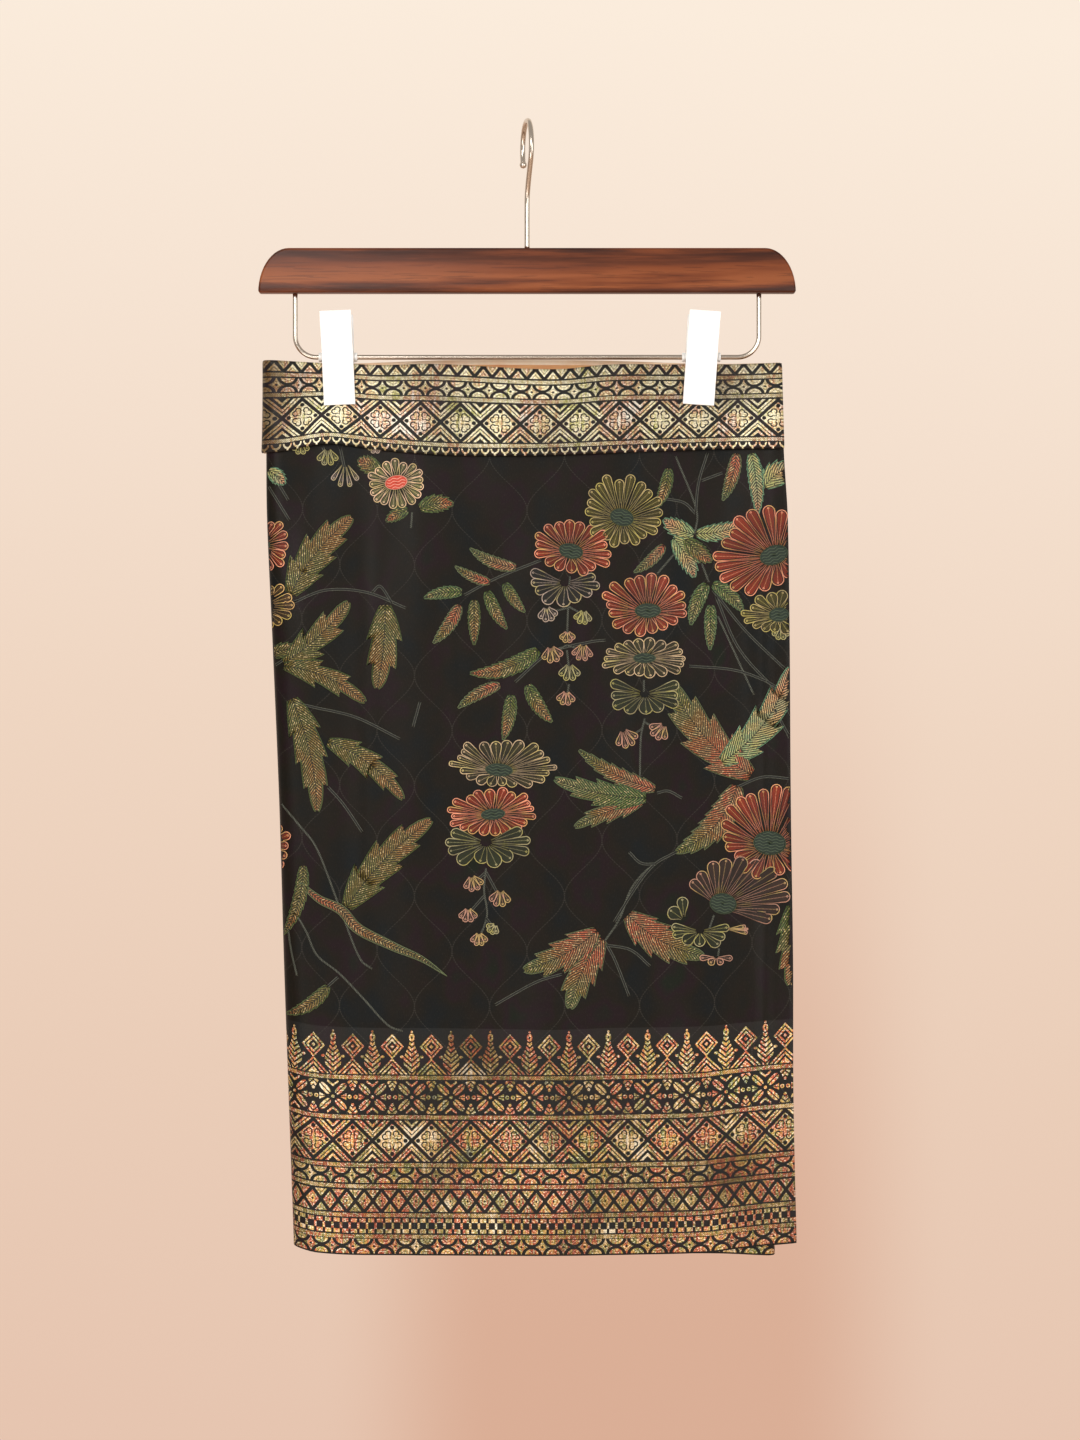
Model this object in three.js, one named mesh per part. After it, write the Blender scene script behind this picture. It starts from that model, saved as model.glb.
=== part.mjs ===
// A pre-tied samping, a wrapped cloth of brocade with a folded waistband, hanging flat from a
// wooden clip hanger. Millimetres, +Z up, +X to the right of someone facing the front, which
// looks along -Y. The origin is where the hook's inner side rests on its rail.
import * as THREE from "three";

// Driving sizes of the cloth
const CLOTH = 1.2; // wall of the brocade
const SEAM_GAP = 0.3; // air between two pieces that touch
const BAND_WALL = 2.2; // the waistband's strip is folded double
const EDGE_WALL = 2.2; // the wrap's free edge, turned under
const EDGE_TURN = 18; // width of the cloth turned under at the free edge
const PANEL_TOP_DROP = 3; // the panels end this far below the waistband's upper fold
const PINCHED = 1.65; // from the centre plane to the middle of a panel inside a clip
const UNDERLAP_STEP = 2.6; // from the middle of the front panel to the underlap's, hanging free
const UNDERLAP_WIDTH = 112;
const SIDE_SEAM_ANGLE = -60; // where front and back meet, degrees round the left fold
const INNER_SEAM_ANGLE = 55; // where back and underlap meet, degrees round the right fold

// Driving sizes of the hanger
const BAR = { halfLength: 183.3, top: -85.5, bottom: -116, thickness: 12, endRound: 21, bevel: 1.6 };
const HOOK = { wire: 3.6, loopRadius: 18.5, turn: 9.5, tipAngle: -27 };
const ROD = { wire: 3.4, legX: 158.3, level: -159.6, bend: 14.5 };
const JAW = { width: 21.4, above: 30.4, below: 33, plate: 1.6, mouth: 5.4, waist: 7.6, handle: 14.5 };
const SLEEVE = { radius: 3.2, length: 26.4 };
const CLIPS = [
  { name: "left", x: -129, lean: 2.4 },
  { name: "right", x: 119, lean: -3.9 },
];

// The wrap seen from the front: its left fold, the front's free edge and the fold behind it
const OUTLINE = [
  { z: -160, left: -178.2, edge: 172.6, fold: 170.6 },
  { z: -225, left: -178.1, edge: 174.4, fold: 171.4 },
  { z: -270, left: -177.6, edge: 177.0, fold: 172.6 },
  { z: -355, left: -173.8, edge: 178.2, fold: 172.4 },
  { z: -465, left: -169.2, edge: 178.9, fold: 171.4 },
  { z: -570, left: -166.1, edge: 180.4, fold: 170.2 },
  { z: -665, left: -162.8, edge: 180.6, fold: 169.4 },
  { z: -772, left: -159.0, edge: 183.0, fold: 169.2 },
];

// The waistband in front: its upper fold, its lower edge, and how far that stands off the cloth
const FRONT_BAND = [
  { x: -182, top: -162.6, bottom: -224.4, flare: 0.8 },
  { x: -167, top: -163.5, bottom: -223.4, flare: 0.9 },
  { x: -138, top: -164.9, bottom: -218.2, flare: 2.6 },
  { x: -118, top: -165.6, bottom: -219.8, flare: 2.2 },
  { x: -98, top: -166.4, bottom: -222.6, flare: 1.4 },
  { x: -60, top: -166.0, bottom: -226.0, flare: 1.2 },
  { x: 0, top: -169.2, bottom: -226.6, flare: 1.7 },
  { x: 24, top: -169.4, bottom: -226.0, flare: 1.8 },
  { x: 56, top: -166.4, bottom: -224.8, flare: 1.6 },
  { x: 104, top: -165.9, bottom: -222.8, flare: 2.2 },
  { x: 141, top: -165.8, bottom: -221.7, flare: 1.8 },
  { x: 178, top: -165.0, bottom: -221.7, flare: 0.9 },
];

const BACK_BAND = [
  { x: -182, top: -162.6, bottom: -224.4, flare: 0.8 },
  { x: -129, top: -164.8, bottom: -221.5, flare: 1.6 },
  { x: -60, top: -162.0, bottom: -223.5, flare: 1.2 },
  { x: 10, top: -161.8, bottom: -224.0, flare: 1.5 },
  { x: 60, top: -162.4, bottom: -223.0, flare: 1.4 },
  { x: 119, top: -164.8, bottom: -221.0, flare: 1.9 },
  { x: 178, top: -163.6, bottom: -222.4, flare: 0.9 },
];

// The lower edges, the front's lifted a little towards its free corner
const FRONT_HEM = [
  { x: -160, z: -764.8 },
  { x: -142, z: -768.8 },
  { x: -105, z: -770.4 },
  { x: 9, z: -771.0 },
  { x: 75, z: -770.2 },
  { x: 122, z: -769.2 },
  { x: 140, z: -766.8 },
  { x: 156, z: -764.9 },
  { x: 183, z: -762.4 },
];

const BACK_HEM = [
  { x: -160, z: -764.8 },
  { x: -130, z: -769.0 },
  { x: -40, z: -771.2 },
  { x: 60, z: -770.6 },
  { x: 130, z: -770.0 },
  { x: 170, z: -771.6 },
];

// How far each panel's middle stands from the centre plane where no clip holds it
const OPENING = [
  { z: -160, front: 5.4, back: 5.6, nose: 11 },
  { z: -225, front: 6.8, back: 6.8, nose: 12 },
  { z: -330, front: 8.4, back: 8.4, nose: 13 },
  { z: -500, front: 10.0, back: 9.8, nose: 14 },
  { z: -772, front: 11.4, back: 11.0, nose: 15 },
];

// Soft upright folds: a ridge where depth is positive, a trough where it is negative
const FRONT_FOLDS = [
  { x: -146, width: 17, depth: 3.0, top: -196, bottom: -420, lean: -0.05 },
  { x: -112, width: 15, depth: -3.2, top: -205, bottom: -640, lean: 0.02 },
  { x: -72, width: 20, depth: 1.6, top: -230, bottom: -560, lean: 0.0 },
  { x: -22, width: 18, depth: -1.8, top: -250, bottom: -700, lean: 0.02 },
  { x: 62, width: 22, depth: -2.0, top: -200, bottom: -520, lean: 0.04 },
  { x: 104, width: 16, depth: 2.2, top: -200, bottom: -430, lean: -0.04 },
  { x: 138, width: 13, depth: 1.8, top: -205, bottom: -380, lean: 0.03 },
  { x: 163, width: 6, depth: -0.9, top: -235, bottom: -800, lean: 0.0 },
  { x: -118, width: 24, depth: 2.0, top: -560, bottom: -850, lean: 0.0 },
  { x: 20, width: 30, depth: 1.8, top: -520, bottom: -850, lean: 0.0 },
  { x: 118, width: 22, depth: -1.9, top: -560, bottom: -850, lean: 0.02 },
];

const BACK_FOLDS = [
  { x: -140, width: 18, depth: 2.6, top: -200, bottom: -480, lean: 0.04 },
  { x: -104, width: 16, depth: -2.8, top: -205, bottom: -600, lean: -0.02 },
  { x: -40, width: 24, depth: 1.8, top: -240, bottom: -640, lean: 0.02 },
  { x: 30, width: 20, depth: -2.2, top: -230, bottom: -700, lean: -0.03 },
  { x: 92, width: 16, depth: -2.4, top: -205, bottom: -520, lean: 0.03 },
  { x: 136, width: 17, depth: 2.4, top: -205, bottom: -460, lean: -0.03 },
  { x: -70, width: 26, depth: -1.9, top: -560, bottom: -850, lean: 0.0 },
  { x: 80, width: 28, depth: 2.1, top: -540, bottom: -850, lean: 0.0 },
];
const FOLD_FADE = 90; // a fold grows and dies over this height
const CLIP_HOLD = { halfWidth: 13, reach: 58, below: -196, fade: 170 };

const COLOURS = {
  cloth: { color: 0x1d1b18, roughness: 0.55, metalness: 0.0 },
  band: { color: 0x8f8a52, roughness: 0.45, metalness: 0.2 },
  wood: { color: 0x6b3018, roughness: 0.4, metalness: 0.0 },
  steel: { color: 0xd8cfc4, roughness: 0.2, metalness: 1.0 },
  clip: { color: 0xf6f5f2, roughness: 0.25, metalness: 0.0 },
};
const material = Object.fromEntries(
  Object.entries(COLOURS).map(([slot, finish]) => [slot, new THREE.MeshStandardMaterial(finish)]),
);

const radians = THREE.MathUtils.degToRad;
const mix = THREE.MathUtils.lerp;
const ease = (from, to, value) => THREE.MathUtils.smoothstep((value - from) / (to - from), 0, 1);

// A smooth curve through one column of a table, its rows in order of the column named by axis.
function along(table, axis, column, at) {
  const rows = table[0][axis] < table[table.length - 1][axis] ? table : [...table].reverse();
  const last = rows.length - 1;
  if (at <= rows[0][axis]) return rows[0][column];
  if (at >= rows[last][axis]) return rows[last][column];
  const k = rows.findIndex((row) => row[axis] > at) - 1;
  const slope = (i) => {
    const a = rows[Math.max(i - 1, 0)];
    const b = rows[Math.min(i + 1, last)];
    return (b[column] - a[column]) / (b[axis] - a[axis]);
  };
  const span = rows[k + 1][axis] - rows[k][axis];
  const t = (at - rows[k][axis]) / span;
  const rise = rows[k + 1][column] - rows[k][column];
  return (
    rows[k][column] + rise * t * t * (3 - 2 * t) +
    span * t * (1 - t) * (slope(k) * (1 - t) - slope(k + 1) * t)
  );
}

// 1 where a clip holds the cloth flat, 0 where it hangs free.
function held(x, z) {
  const nearest = Math.min(...CLIPS.map((clip) => Math.abs(x - clip.x)));
  const across = 1 - ease(CLIP_HOLD.halfWidth, CLIP_HOLD.reach, nearest);
  return across * ease(CLIP_HOLD.below - CLIP_HOLD.fade, CLIP_HOLD.below, z);
}

function foldDepth(folds, x, z) {
  return folds.reduce((sum, f) => {
    const middle = f.x + f.lean * (f.top - z);
    const fade = ease(f.top, f.top - FOLD_FADE, z) * ease(f.bottom, f.bottom + FOLD_FADE, z);
    return sum + f.depth * fade * Math.exp(-(((x - middle) / f.width) ** 2));
  }, 0);
}

// Distance of a panel's middle from the centre plane. side is "front" or "back".
function standOff(side, x, z) {
  const free = along(OPENING, "z", side, z) + foldDepth(side === "front" ? FRONT_FOLDS : BACK_FOLDS, x, z);
  return mix(free, PINCHED, held(x, z));
}

// The underlap's stand-off: a step inside the front's, closing up inside the clips.
function underlapStandOff(x, z) {
  return standOff("front", x, z) - mix(UNDERLAP_STEP, PINCHED, held(x, z));
}

// A place along the cloth is either an angle round a side fold, 90 where the fold meets the
// panel, or a share of the flat width between the fold and the other end.
const foldAngles = (from, to, steps) =>
  Array.from({ length: steps + 1 }, (_, i) => ({ angle: mix(from, to, i / steps) }));
const flatShares = (from, to, steps) =>
  Array.from({ length: steps }, (_, i) => ({ share: mix(from, to, (i + 1) / steps) }));

function frontMiddle(place, z) {
  const left = along(OUTLINE, "z", "left", z) + CLOTH / 2;
  const nose = along(OPENING, "z", "nose", z);
  if (place.share !== undefined) {
    const x = mix(left + nose, along(OUTLINE, "z", "edge", z), place.share);
    return { x, y: -standOff("front", x, z) };
  }
  const x = left + nose * (1 - Math.cos(radians(place.angle)));
  const side = place.angle < 0 ? "back" : "front";
  return { x, y: -Math.sin(radians(place.angle)) * standOff(side, x, z) };
}

// The back starts behind the left fold and its angles past the last share go round the right one.
function backMiddle(place, z) {
  const left = along(OUTLINE, "z", "left", z) + CLOTH / 2;
  const right = along(OUTLINE, "z", "fold", z) - CLOTH / 2;
  const nose = along(OPENING, "z", "nose", z);
  if (place.share !== undefined) {
    const x = mix(left + nose, right - nose / 2, place.share);
    return { x, y: standOff("back", x, z) };
  }
  if (place.right) {
    const x = right - (nose / 2) * (1 - Math.cos(radians(place.angle)));
    const depth = place.angle < 0 ? standOff("back", x, z) : underlapStandOff(x, z);
    return { x, y: -Math.sin(radians(place.angle)) * depth };
  }
  return frontMiddle(place, z);
}

function underlapMiddle(place, z) {
  if (place.right) return backMiddle(place, z);
  const right = along(OUTLINE, "z", "fold", z) - CLOTH / 2 - along(OPENING, "z", "nose", z) / 2;
  const x = mix(right, right - UNDERLAP_WIDTH, place.share);
  return { x, y: -underlapStandOff(x, z) };
}

// The rows of a wall, from share 0 at its upper edge to 1 at its lower one.
function heights(upper, lower, rows) {
  return Array.from({ length: rows + 1 }, (_, j) => (x) => mix(upper(x), lower(x), j / rows));
}

// A wall of cloth between two faces that follow its middle surface. place lists run in the
// direction that makes the outward normal point away from the centre of the wrap.
function wall(name, finish, places, rows, middle, thickness) {
  const nominal = (j) => rows[j](0);
  const grid = places.map((place) =>
    rows.map((height, j) => {
      const first = middle(place, nominal(j));
      const z = height(first.x);
      const { x, y } = middle(place, z);
      return new THREE.Vector3(x, y, z);
    }),
  );
  const columns = grid.length;
  const count = rows.length;
  const normalAt = (i, j) => {
    const across = grid[Math.min(i + 1, columns - 1)][j].clone().sub(grid[Math.max(i - 1, 0)][j]);
    const down = grid[i][Math.min(j + 1, count - 1)].clone().sub(grid[i][Math.max(j - 1, 0)]);
    return down.cross(across).normalize();
  };
  const positions = [];
  for (const face of [0, 1]) {
    for (let i = 0; i < columns; i++) {
      for (let j = 0; j < count; j++) {
        const { outer, inner } = thickness(grid[i][j].x, j / (count - 1));
        const out = normalAt(i, j).multiplyScalar(face === 0 ? outer : inner);
        positions.push(...grid[i][j].clone().add(out).toArray());
      }
    }
  }
  const at = (face, i, j) => face * columns * count + i * count + j;
  const index = [];
  const quad = (a, b, c, d) => index.push(a, b, c, a, c, d);
  for (let i = 0; i < columns - 1; i++) {
    for (let j = 0; j < count - 1; j++) {
      quad(at(0, i, j), at(0, i, j + 1), at(0, i + 1, j + 1), at(0, i + 1, j));
      quad(at(1, i, j), at(1, i + 1, j), at(1, i + 1, j + 1), at(1, i, j + 1));
    }
    quad(at(0, i, 0), at(0, i + 1, 0), at(1, i + 1, 0), at(1, i, 0));
    quad(at(0, i, count - 1), at(1, i, count - 1), at(1, i + 1, count - 1), at(0, i + 1, count - 1));
  }
  for (let j = 0; j < count - 1; j++) {
    quad(at(0, 0, j), at(1, 0, j), at(1, 0, j + 1), at(0, 0, j + 1));
    quad(at(0, columns - 1, j), at(0, columns - 1, j + 1), at(1, columns - 1, j + 1), at(1, columns - 1, j));
  }
  const geometry = new THREE.BufferGeometry();
  geometry.setAttribute("position", new THREE.Float32BufferAttribute(positions, 3));
  geometry.setIndex(index);
  return named(name, geometry, finish);
}

function named(name, geometry, finish) {
  const mesh = new THREE.Mesh(geometry, finish);
  mesh.name = name;
  return mesh;
}

const evenWall = () => ({ outer: CLOTH / 2, inner: -CLOTH / 2 });

// The front panel: round the left fold, across the front, its free edge turned under.
function frontPanel() {
  const places = [...foldAngles(SIDE_SEAM_ANGLE, 90, 7), ...flatShares(0, 1, 26)];
  const top = (x) => along(FRONT_BAND, "x", "top", x) - PANEL_TOP_DROP;
  const rows = heights(top, (x) => along(FRONT_HEM, "x", "z", x), 22);
  const turned = EDGE_WALL - CLOTH;
  const edgeStart = OUTLINE[0].edge - EDGE_TURN;
  const thickness = (x) => ({
    outer: CLOTH / 2,
    inner: -CLOTH / 2 - turned * 0.3 * ease(edgeStart, edgeStart + EDGE_TURN / 3, x),
  });
  return wall("front_panel", material.cloth, places, rows, frontMiddle, thickness);
}

// The back panel: from the seam behind the left fold, across the back and round the right fold.
function backPanel() {
  const seam = SIDE_SEAM_ANGLE - 3;
  const places = [
    ...foldAngles(INNER_SEAM_ANGLE, -90, 6).map((place) => ({ ...place, right: true })),
    ...flatShares(1, 0, 24).map(({ share }) => ({ share })),
    ...foldAngles(-90, seam, 1).slice(1),
  ];
  const top = (x) => along(BACK_BAND, "x", "top", x) - PANEL_TOP_DROP;
  const rows = heights(top, (x) => along(BACK_HEM, "x", "z", x), 22);
  return wall("back_panel", material.cloth, places, rows, backMiddle, evenWall);
}

// The underlap: the rest of the wrap, turned in behind the front panel.
function underlap() {
  const start = INNER_SEAM_ANGLE + 5;
  const places = [
    ...foldAngles(start, 90, 2).map((place) => ({ ...place, right: true })),
    ...flatShares(0, 1, 9),
  ].reverse();
  const top = (x) => along(BACK_BAND, "x", "top", x) - PANEL_TOP_DROP - 1;
  const rows = heights(top, (x) => along(BACK_HEM, "x", "z", x), 22);
  return wall("underlap", material.cloth, places, rows, underlapMiddle, evenWall);
}

// A waistband strip lies on a panel's outer points, and its lower edge stands a little off it.
function waistband(name, table, places, middle) {
  const rows = heights((x) => along(table, "x", "top", x), (x) => along(table, "x", "bottom", x), 4);
  const thickness = (x, down) => {
    const inner = CLOTH / 2 + SEAM_GAP + along(table, "x", "flare", x) * down ** 3;
    return { outer: inner + BAND_WALL, inner };
  };
  return wall(name, material.band, places, rows, middle, thickness);
}

function frontWaistband() {
  const places = [...foldAngles(SIDE_SEAM_ANGLE, 90, 7), ...flatShares(0, 1, 26)];
  return waistband("waistband_front", FRONT_BAND, places, frontMiddle);
}

function backWaistband() {
  const seam = SIDE_SEAM_ANGLE - 3;
  const places = [
    ...foldAngles(-12, -90, 3).map((place) => ({ ...place, right: true })),
    ...flatShares(1, 0, 24),
    ...foldAngles(-90, seam, 1).slice(1),
  ];
  return waistband("waistband_back", BACK_BAND, places, backMiddle);
}

// The wooden bar: straight below, its upper corners rounded to quarter ellipses.
function hangerBar() {
  const { halfLength, top, bottom, thickness, endRound, bevel } = BAR;
  const half = halfLength - bevel;
  const rise = top - bottom - 2 * bevel;
  const shape = new THREE.Shape();
  shape.moveTo(-half, 0);
  shape.lineTo(half, 0);
  shape.absellipse(half - endRound, 0, endRound, rise, 0, Math.PI / 2, false);
  shape.lineTo(-half + endRound, rise);
  shape.absellipse(-half + endRound, 0, endRound, rise, Math.PI / 2, Math.PI, false);
  const geometry = new THREE.ExtrudeGeometry(shape, {
    depth: thickness - 2 * bevel,
    bevelEnabled: true,
    bevelSize: bevel,
    bevelThickness: bevel,
    bevelSegments: 2,
    curveSegments: 10,
  });
  geometry.rotateX(Math.PI / 2);
  geometry.translate(0, (thickness - 2 * bevel) / 2, bottom + bevel);
  return named("hanger_bar", geometry, material.wood);
}

function roundSection(diameter, sides) {
  const corner = (i) => {
    const turn = (2 * Math.PI * i) / sides;
    return new THREE.Vector2(Math.cos(turn), Math.sin(turn)).multiplyScalar(diameter / 2);
  };
  return new THREE.Shape(Array.from({ length: sides }, (_, i) => corner(i)));
}

function arcPoints(centre, radius, from, to, steps) {
  return Array.from({ length: steps + 1 }, (_, i) => {
    const turn = radians(mix(from, to, i / steps));
    return new THREE.Vector2(centre.x + radius * Math.cos(turn), centre.y + radius * Math.sin(turn));
  });
}

function bentWire(name, points, diameter, steps) {
  const path = new THREE.CatmullRomCurve3(points, false, "centripetal");
  const section = roundSection(diameter, 8);
  const geometry = new THREE.ExtrudeGeometry(section, { steps, extrudePath: path, bevelEnabled: false });
  return named(name, geometry, material.steel);
}

// The hook: a loop over the rail, its plane nearly square to the bar, and a stem down to the bar.
function hook() {
  const { wire, loopRadius, turn, tipAngle } = HOOK;
  const centre = new THREE.Vector2(0, wire / 2 - loopRadius);
  const loop = arcPoints(centre, loopRadius, tipAngle, 222, 18);
  const neck = centre.y - loopRadius;
  const stem = [
    new THREE.Vector2(-5.2, neck - 6),
    new THREE.Vector2(-0.8, neck - 15),
    new THREE.Vector2(0, neck - 24),
    new THREE.Vector2(0, BAR.top + SEAM_GAP + 14),
    new THREE.Vector2(0, BAR.top + SEAM_GAP),
  ];
  const around = new THREE.Vector3(0, 0, 1);
  const points = [...loop, ...stem].map(({ x, y }) =>
    new THREE.Vector3(0, x, y).applyAxisAngle(around, radians(turn)),
  );
  return bentWire("hook", points, wire, 48);
}

// The lower rod: two legs under the bar, bent into one level run that carries the clips.
function clipRod() {
  const { wire, legX, level, bend } = ROD;
  const corner = (side) =>
    arcPoints(new THREE.Vector2(side * (legX - bend), level + bend), bend,
      side < 0 ? 180 : 270, side < 0 ? 270 : 360, 6).map(({ x, y }) => new THREE.Vector3(x, 0, y));
  const legTop = (side) => new THREE.Vector3(side * legX, 0, BAR.bottom - SEAM_GAP);
  const legEnd = (side) => new THREE.Vector3(side * legX, 0, level + bend + 4);
  const points = [legTop(-1), legEnd(-1), ...corner(-1), new THREE.Vector3(-90, 0, level),
    new THREE.Vector3(0, 0, level), new THREE.Vector3(90, 0, level), ...corner(1), legEnd(1), legTop(1)];
  return bentWire("clip_rod", points, wire, 44);
}

// One jaw: a flat plate, its foot on the cloth, with a boss that reaches the sleeve on the rod.
function jaw(name, facing) {
  const { width, above, below, plate, mouth, waist, handle } = JAW;
  const boss = SLEEVE.radius + SEAM_GAP;
  const profile = new THREE.Shape(
    [
      [mouth, -below],
      [mouth + plate, -below],
      [waist + plate, 2],
      [handle + plate, above],
      [handle, above],
      [waist + 1, 5],
      [boss, 2.6],
      [boss, -2.2],
      [mouth + 0.8, -5],
      [mouth, -9],
    ].map(([out, up]) => new THREE.Vector2(out, up)),
  );
  const geometry = new THREE.ExtrudeGeometry(profile, { depth: width, bevelEnabled: false });
  geometry.translate(0, 0, -width / 2);
  geometry.rotateX(Math.PI / 2);
  geometry.rotateZ(facing === "front" ? -Math.PI / 2 : Math.PI / 2);
  return named(name, geometry, material.clip);
}

// The sleeve that turns on the rod between the two jaws.
function sleeve(name) {
  const section = roundSection(2 * SLEEVE.radius, 12);
  const bore = roundSection(ROD.wire + 2 * SEAM_GAP, 12);
  section.holes.push(new THREE.Path(bore.getPoints().reverse()));
  const geometry = new THREE.ExtrudeGeometry(section, { depth: SLEEVE.length, bevelEnabled: false });
  geometry.translate(0, 0, -SLEEVE.length / 2);
  geometry.rotateY(Math.PI / 2);
  return named(name, geometry, material.clip);
}

function clip({ name, x, lean }) {
  const group = new THREE.Group();
  const jaws = new THREE.Group();
  jaws.add(jaw(name + "_clip_front_jaw", "front"), jaw(name + "_clip_back_jaw", "back"));
  jaws.rotation.y = radians(-lean);
  group.add(jaws, sleeve(name + "_clip_sleeve"));
  group.position.set(x, 0, ROD.level);
  return group;
}

const samping = new THREE.Group();
samping.add(hangerBar(), hook(), clipRod(), ...CLIPS.map(clip));
samping.add(frontPanel(), backPanel(), underlap(), frontWaistband(), backWaistband());

export default samping;
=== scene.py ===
"""Looks of a pre-tied samping on a wooden clip hanger: brocade wrap, folded waistband, hanger."""
import functools
import math
import random
import bmesh
import bpy
import numpy as np
from mathutils import Matrix, Vector


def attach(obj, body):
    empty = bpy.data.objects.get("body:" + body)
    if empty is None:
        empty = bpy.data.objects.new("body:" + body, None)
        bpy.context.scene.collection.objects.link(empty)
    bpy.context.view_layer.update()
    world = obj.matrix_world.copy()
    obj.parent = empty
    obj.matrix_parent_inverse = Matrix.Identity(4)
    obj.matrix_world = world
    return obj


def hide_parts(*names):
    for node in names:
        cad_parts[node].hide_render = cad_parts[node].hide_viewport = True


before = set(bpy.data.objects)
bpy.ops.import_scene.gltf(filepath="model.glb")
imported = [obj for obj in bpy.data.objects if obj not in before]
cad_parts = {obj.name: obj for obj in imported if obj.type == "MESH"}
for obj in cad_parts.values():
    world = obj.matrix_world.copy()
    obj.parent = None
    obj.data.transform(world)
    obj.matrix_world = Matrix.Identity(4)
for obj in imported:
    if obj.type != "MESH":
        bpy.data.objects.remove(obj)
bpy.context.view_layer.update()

MM = 0.001
WALL_Y = 3.0  # metres behind the hanging cloth, past the reach of the turned views

# ---------------------------------------------------------------- sizes, in millimetres
CLOTH = 1.2
SEAM_GAP = 0.3
BAND_WALL = 2.2
EDGE_TURN = 18
PANEL_TOP_DROP = 3
PINCHED = 1.65
UNDERLAP_STEP = 2.6
UNDERLAP_WIDTH = 112
BORDER_HEIGHT = 153
BAR = dict(half=183.3, top=-85.5, bottom=-116, thickness=12, end_round=21, round=1.7)
HOOK = dict(wire=3.6, loop=18.5, turn=9.5, tip=-27, bead=2.5)
ROD = dict(wire=3.4, leg=158.3, level=-159.6, bend=14.5)
JAW = dict(width=21.4, above=30.4, below=33, plate=1.6, mouth=5.4, waist=7.6, handle=14.5, round=0.42)
SLEEVE = dict(radius=3.2, length=26.4)
CLIPS = [("left", -129, 2.4), ("right", 119, -3.9)]
FOLD_FADE = 90
HOLD = dict(half=13, reach=58, below=-196, fade=170)
WAIST, BAND_FOOT, HEM = -165, -225, -770  # rough heights, before the tables give the true ones
FREE_FROM, FREE_BY = -165, -235  # ripples grow between these heights
NO_EDGE = 1e-9


def table(columns, *rows):
    """Rows of numbers with named columns."""
    return dict(zip(columns.split(), np.array(rows, float).T))


OUTLINE = table(
    "z left edge fold",
    (-160, -178.2, 172.6, 170.6),
    (-225, -178.1, 174.4, 171.4),
    (-270, -177.6, 177.0, 172.6),
    (-355, -173.8, 178.2, 172.4),
    (-465, -169.2, 178.9, 171.4),
    (-570, -166.1, 180.4, 170.2),
    (-665, -162.8, 180.6, 169.4),
    (-772, -159.0, 183.0, 169.2),
)
FRONT_BAND = table(
    "x top bottom flare",
    (-182, -162.6, -224.4, 0.8),
    (-167, -163.5, -223.4, 0.9),
    (-138, -164.9, -218.2, 2.6),
    (-118, -165.6, -219.8, 2.2),
    (-98, -166.4, -222.6, 1.4),
    (-60, -166.0, -226.0, 1.2),
    (0, -169.2, -226.6, 1.7),
    (24, -169.4, -226.0, 1.8),
    (56, -166.4, -224.8, 1.6),
    (104, -165.9, -222.8, 2.2),
    (141, -165.8, -221.7, 1.8),
    (178, -165.0, -221.7, 0.9),
)
BACK_BAND = table(
    "x top bottom flare",
    (-182, -162.6, -224.4, 0.8),
    (-129, -164.8, -221.5, 1.6),
    (-60, -162.0, -223.5, 1.2),
    (10, -161.8, -224.0, 1.5),
    (60, -162.4, -223.0, 1.4),
    (119, -164.8, -221.0, 1.9),
    (178, -163.6, -222.4, 0.9),
)
FRONT_HEM = table(
    "x z",
    (-160, -764.8),
    (-142, -768.8),
    (-105, -770.4),
    (9, -771.0),
    (75, -770.2),
    (122, -769.2),
    (140, -766.8),
    (156, -764.9),
    (183, -762.4),
)
BACK_HEM = table(
    "x z",
    (-160, -764.8),
    (-130, -769.0),
    (-40, -771.2),
    (60, -770.6),
    (130, -770.0),
    (170, -771.6),
)
OPENING = table(
    "z front back nose",
    (-160, 5.4, 5.6, 11),
    (-225, 6.8, 6.8, 12),
    (-330, 8.4, 8.4, 13),
    (-500, 10.0, 9.8, 14),
    (-772, 11.4, 11.0, 15),
)
FOLD_COLUMNS = "x width depth top bottom lean"
FRONT_FOLDS = table(
    FOLD_COLUMNS,
    (-146, 17, 3.0, -196, -420, -0.05),
    (-112, 15, -3.2, -205, -640, 0.02),
    (-72, 20, 1.6, -230, -560, 0.0),
    (-22, 18, -1.8, -250, -700, 0.02),
    (62, 22, -2.0, -200, -520, 0.04),
    (104, 16, 2.2, -200, -430, -0.04),
    (138, 13, 1.8, -205, -380, 0.03),
    (163, 6, -0.9, -235, -800, 0.0),
    (-118, 24, 2.0, -560, -850, 0.0),
    (20, 30, 1.8, -520, -850, 0.0),
    (118, 22, -1.9, -560, -850, 0.02),
)
BACK_FOLDS = table(
    FOLD_COLUMNS,
    (-140, 18, 2.6, -200, -480, 0.04),
    (-104, 16, -2.8, -205, -600, -0.02),
    (-40, 24, 1.8, -240, -640, 0.02),
    (30, 20, -2.2, -230, -700, -0.03),
    (92, 16, -2.4, -205, -520, 0.03),
    (136, 17, 2.4, -205, -460, -0.03),
    (-70, 26, -1.9, -560, -850, 0.0),
    (80, 28, 2.1, -540, -850, 0.0),
)
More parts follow.
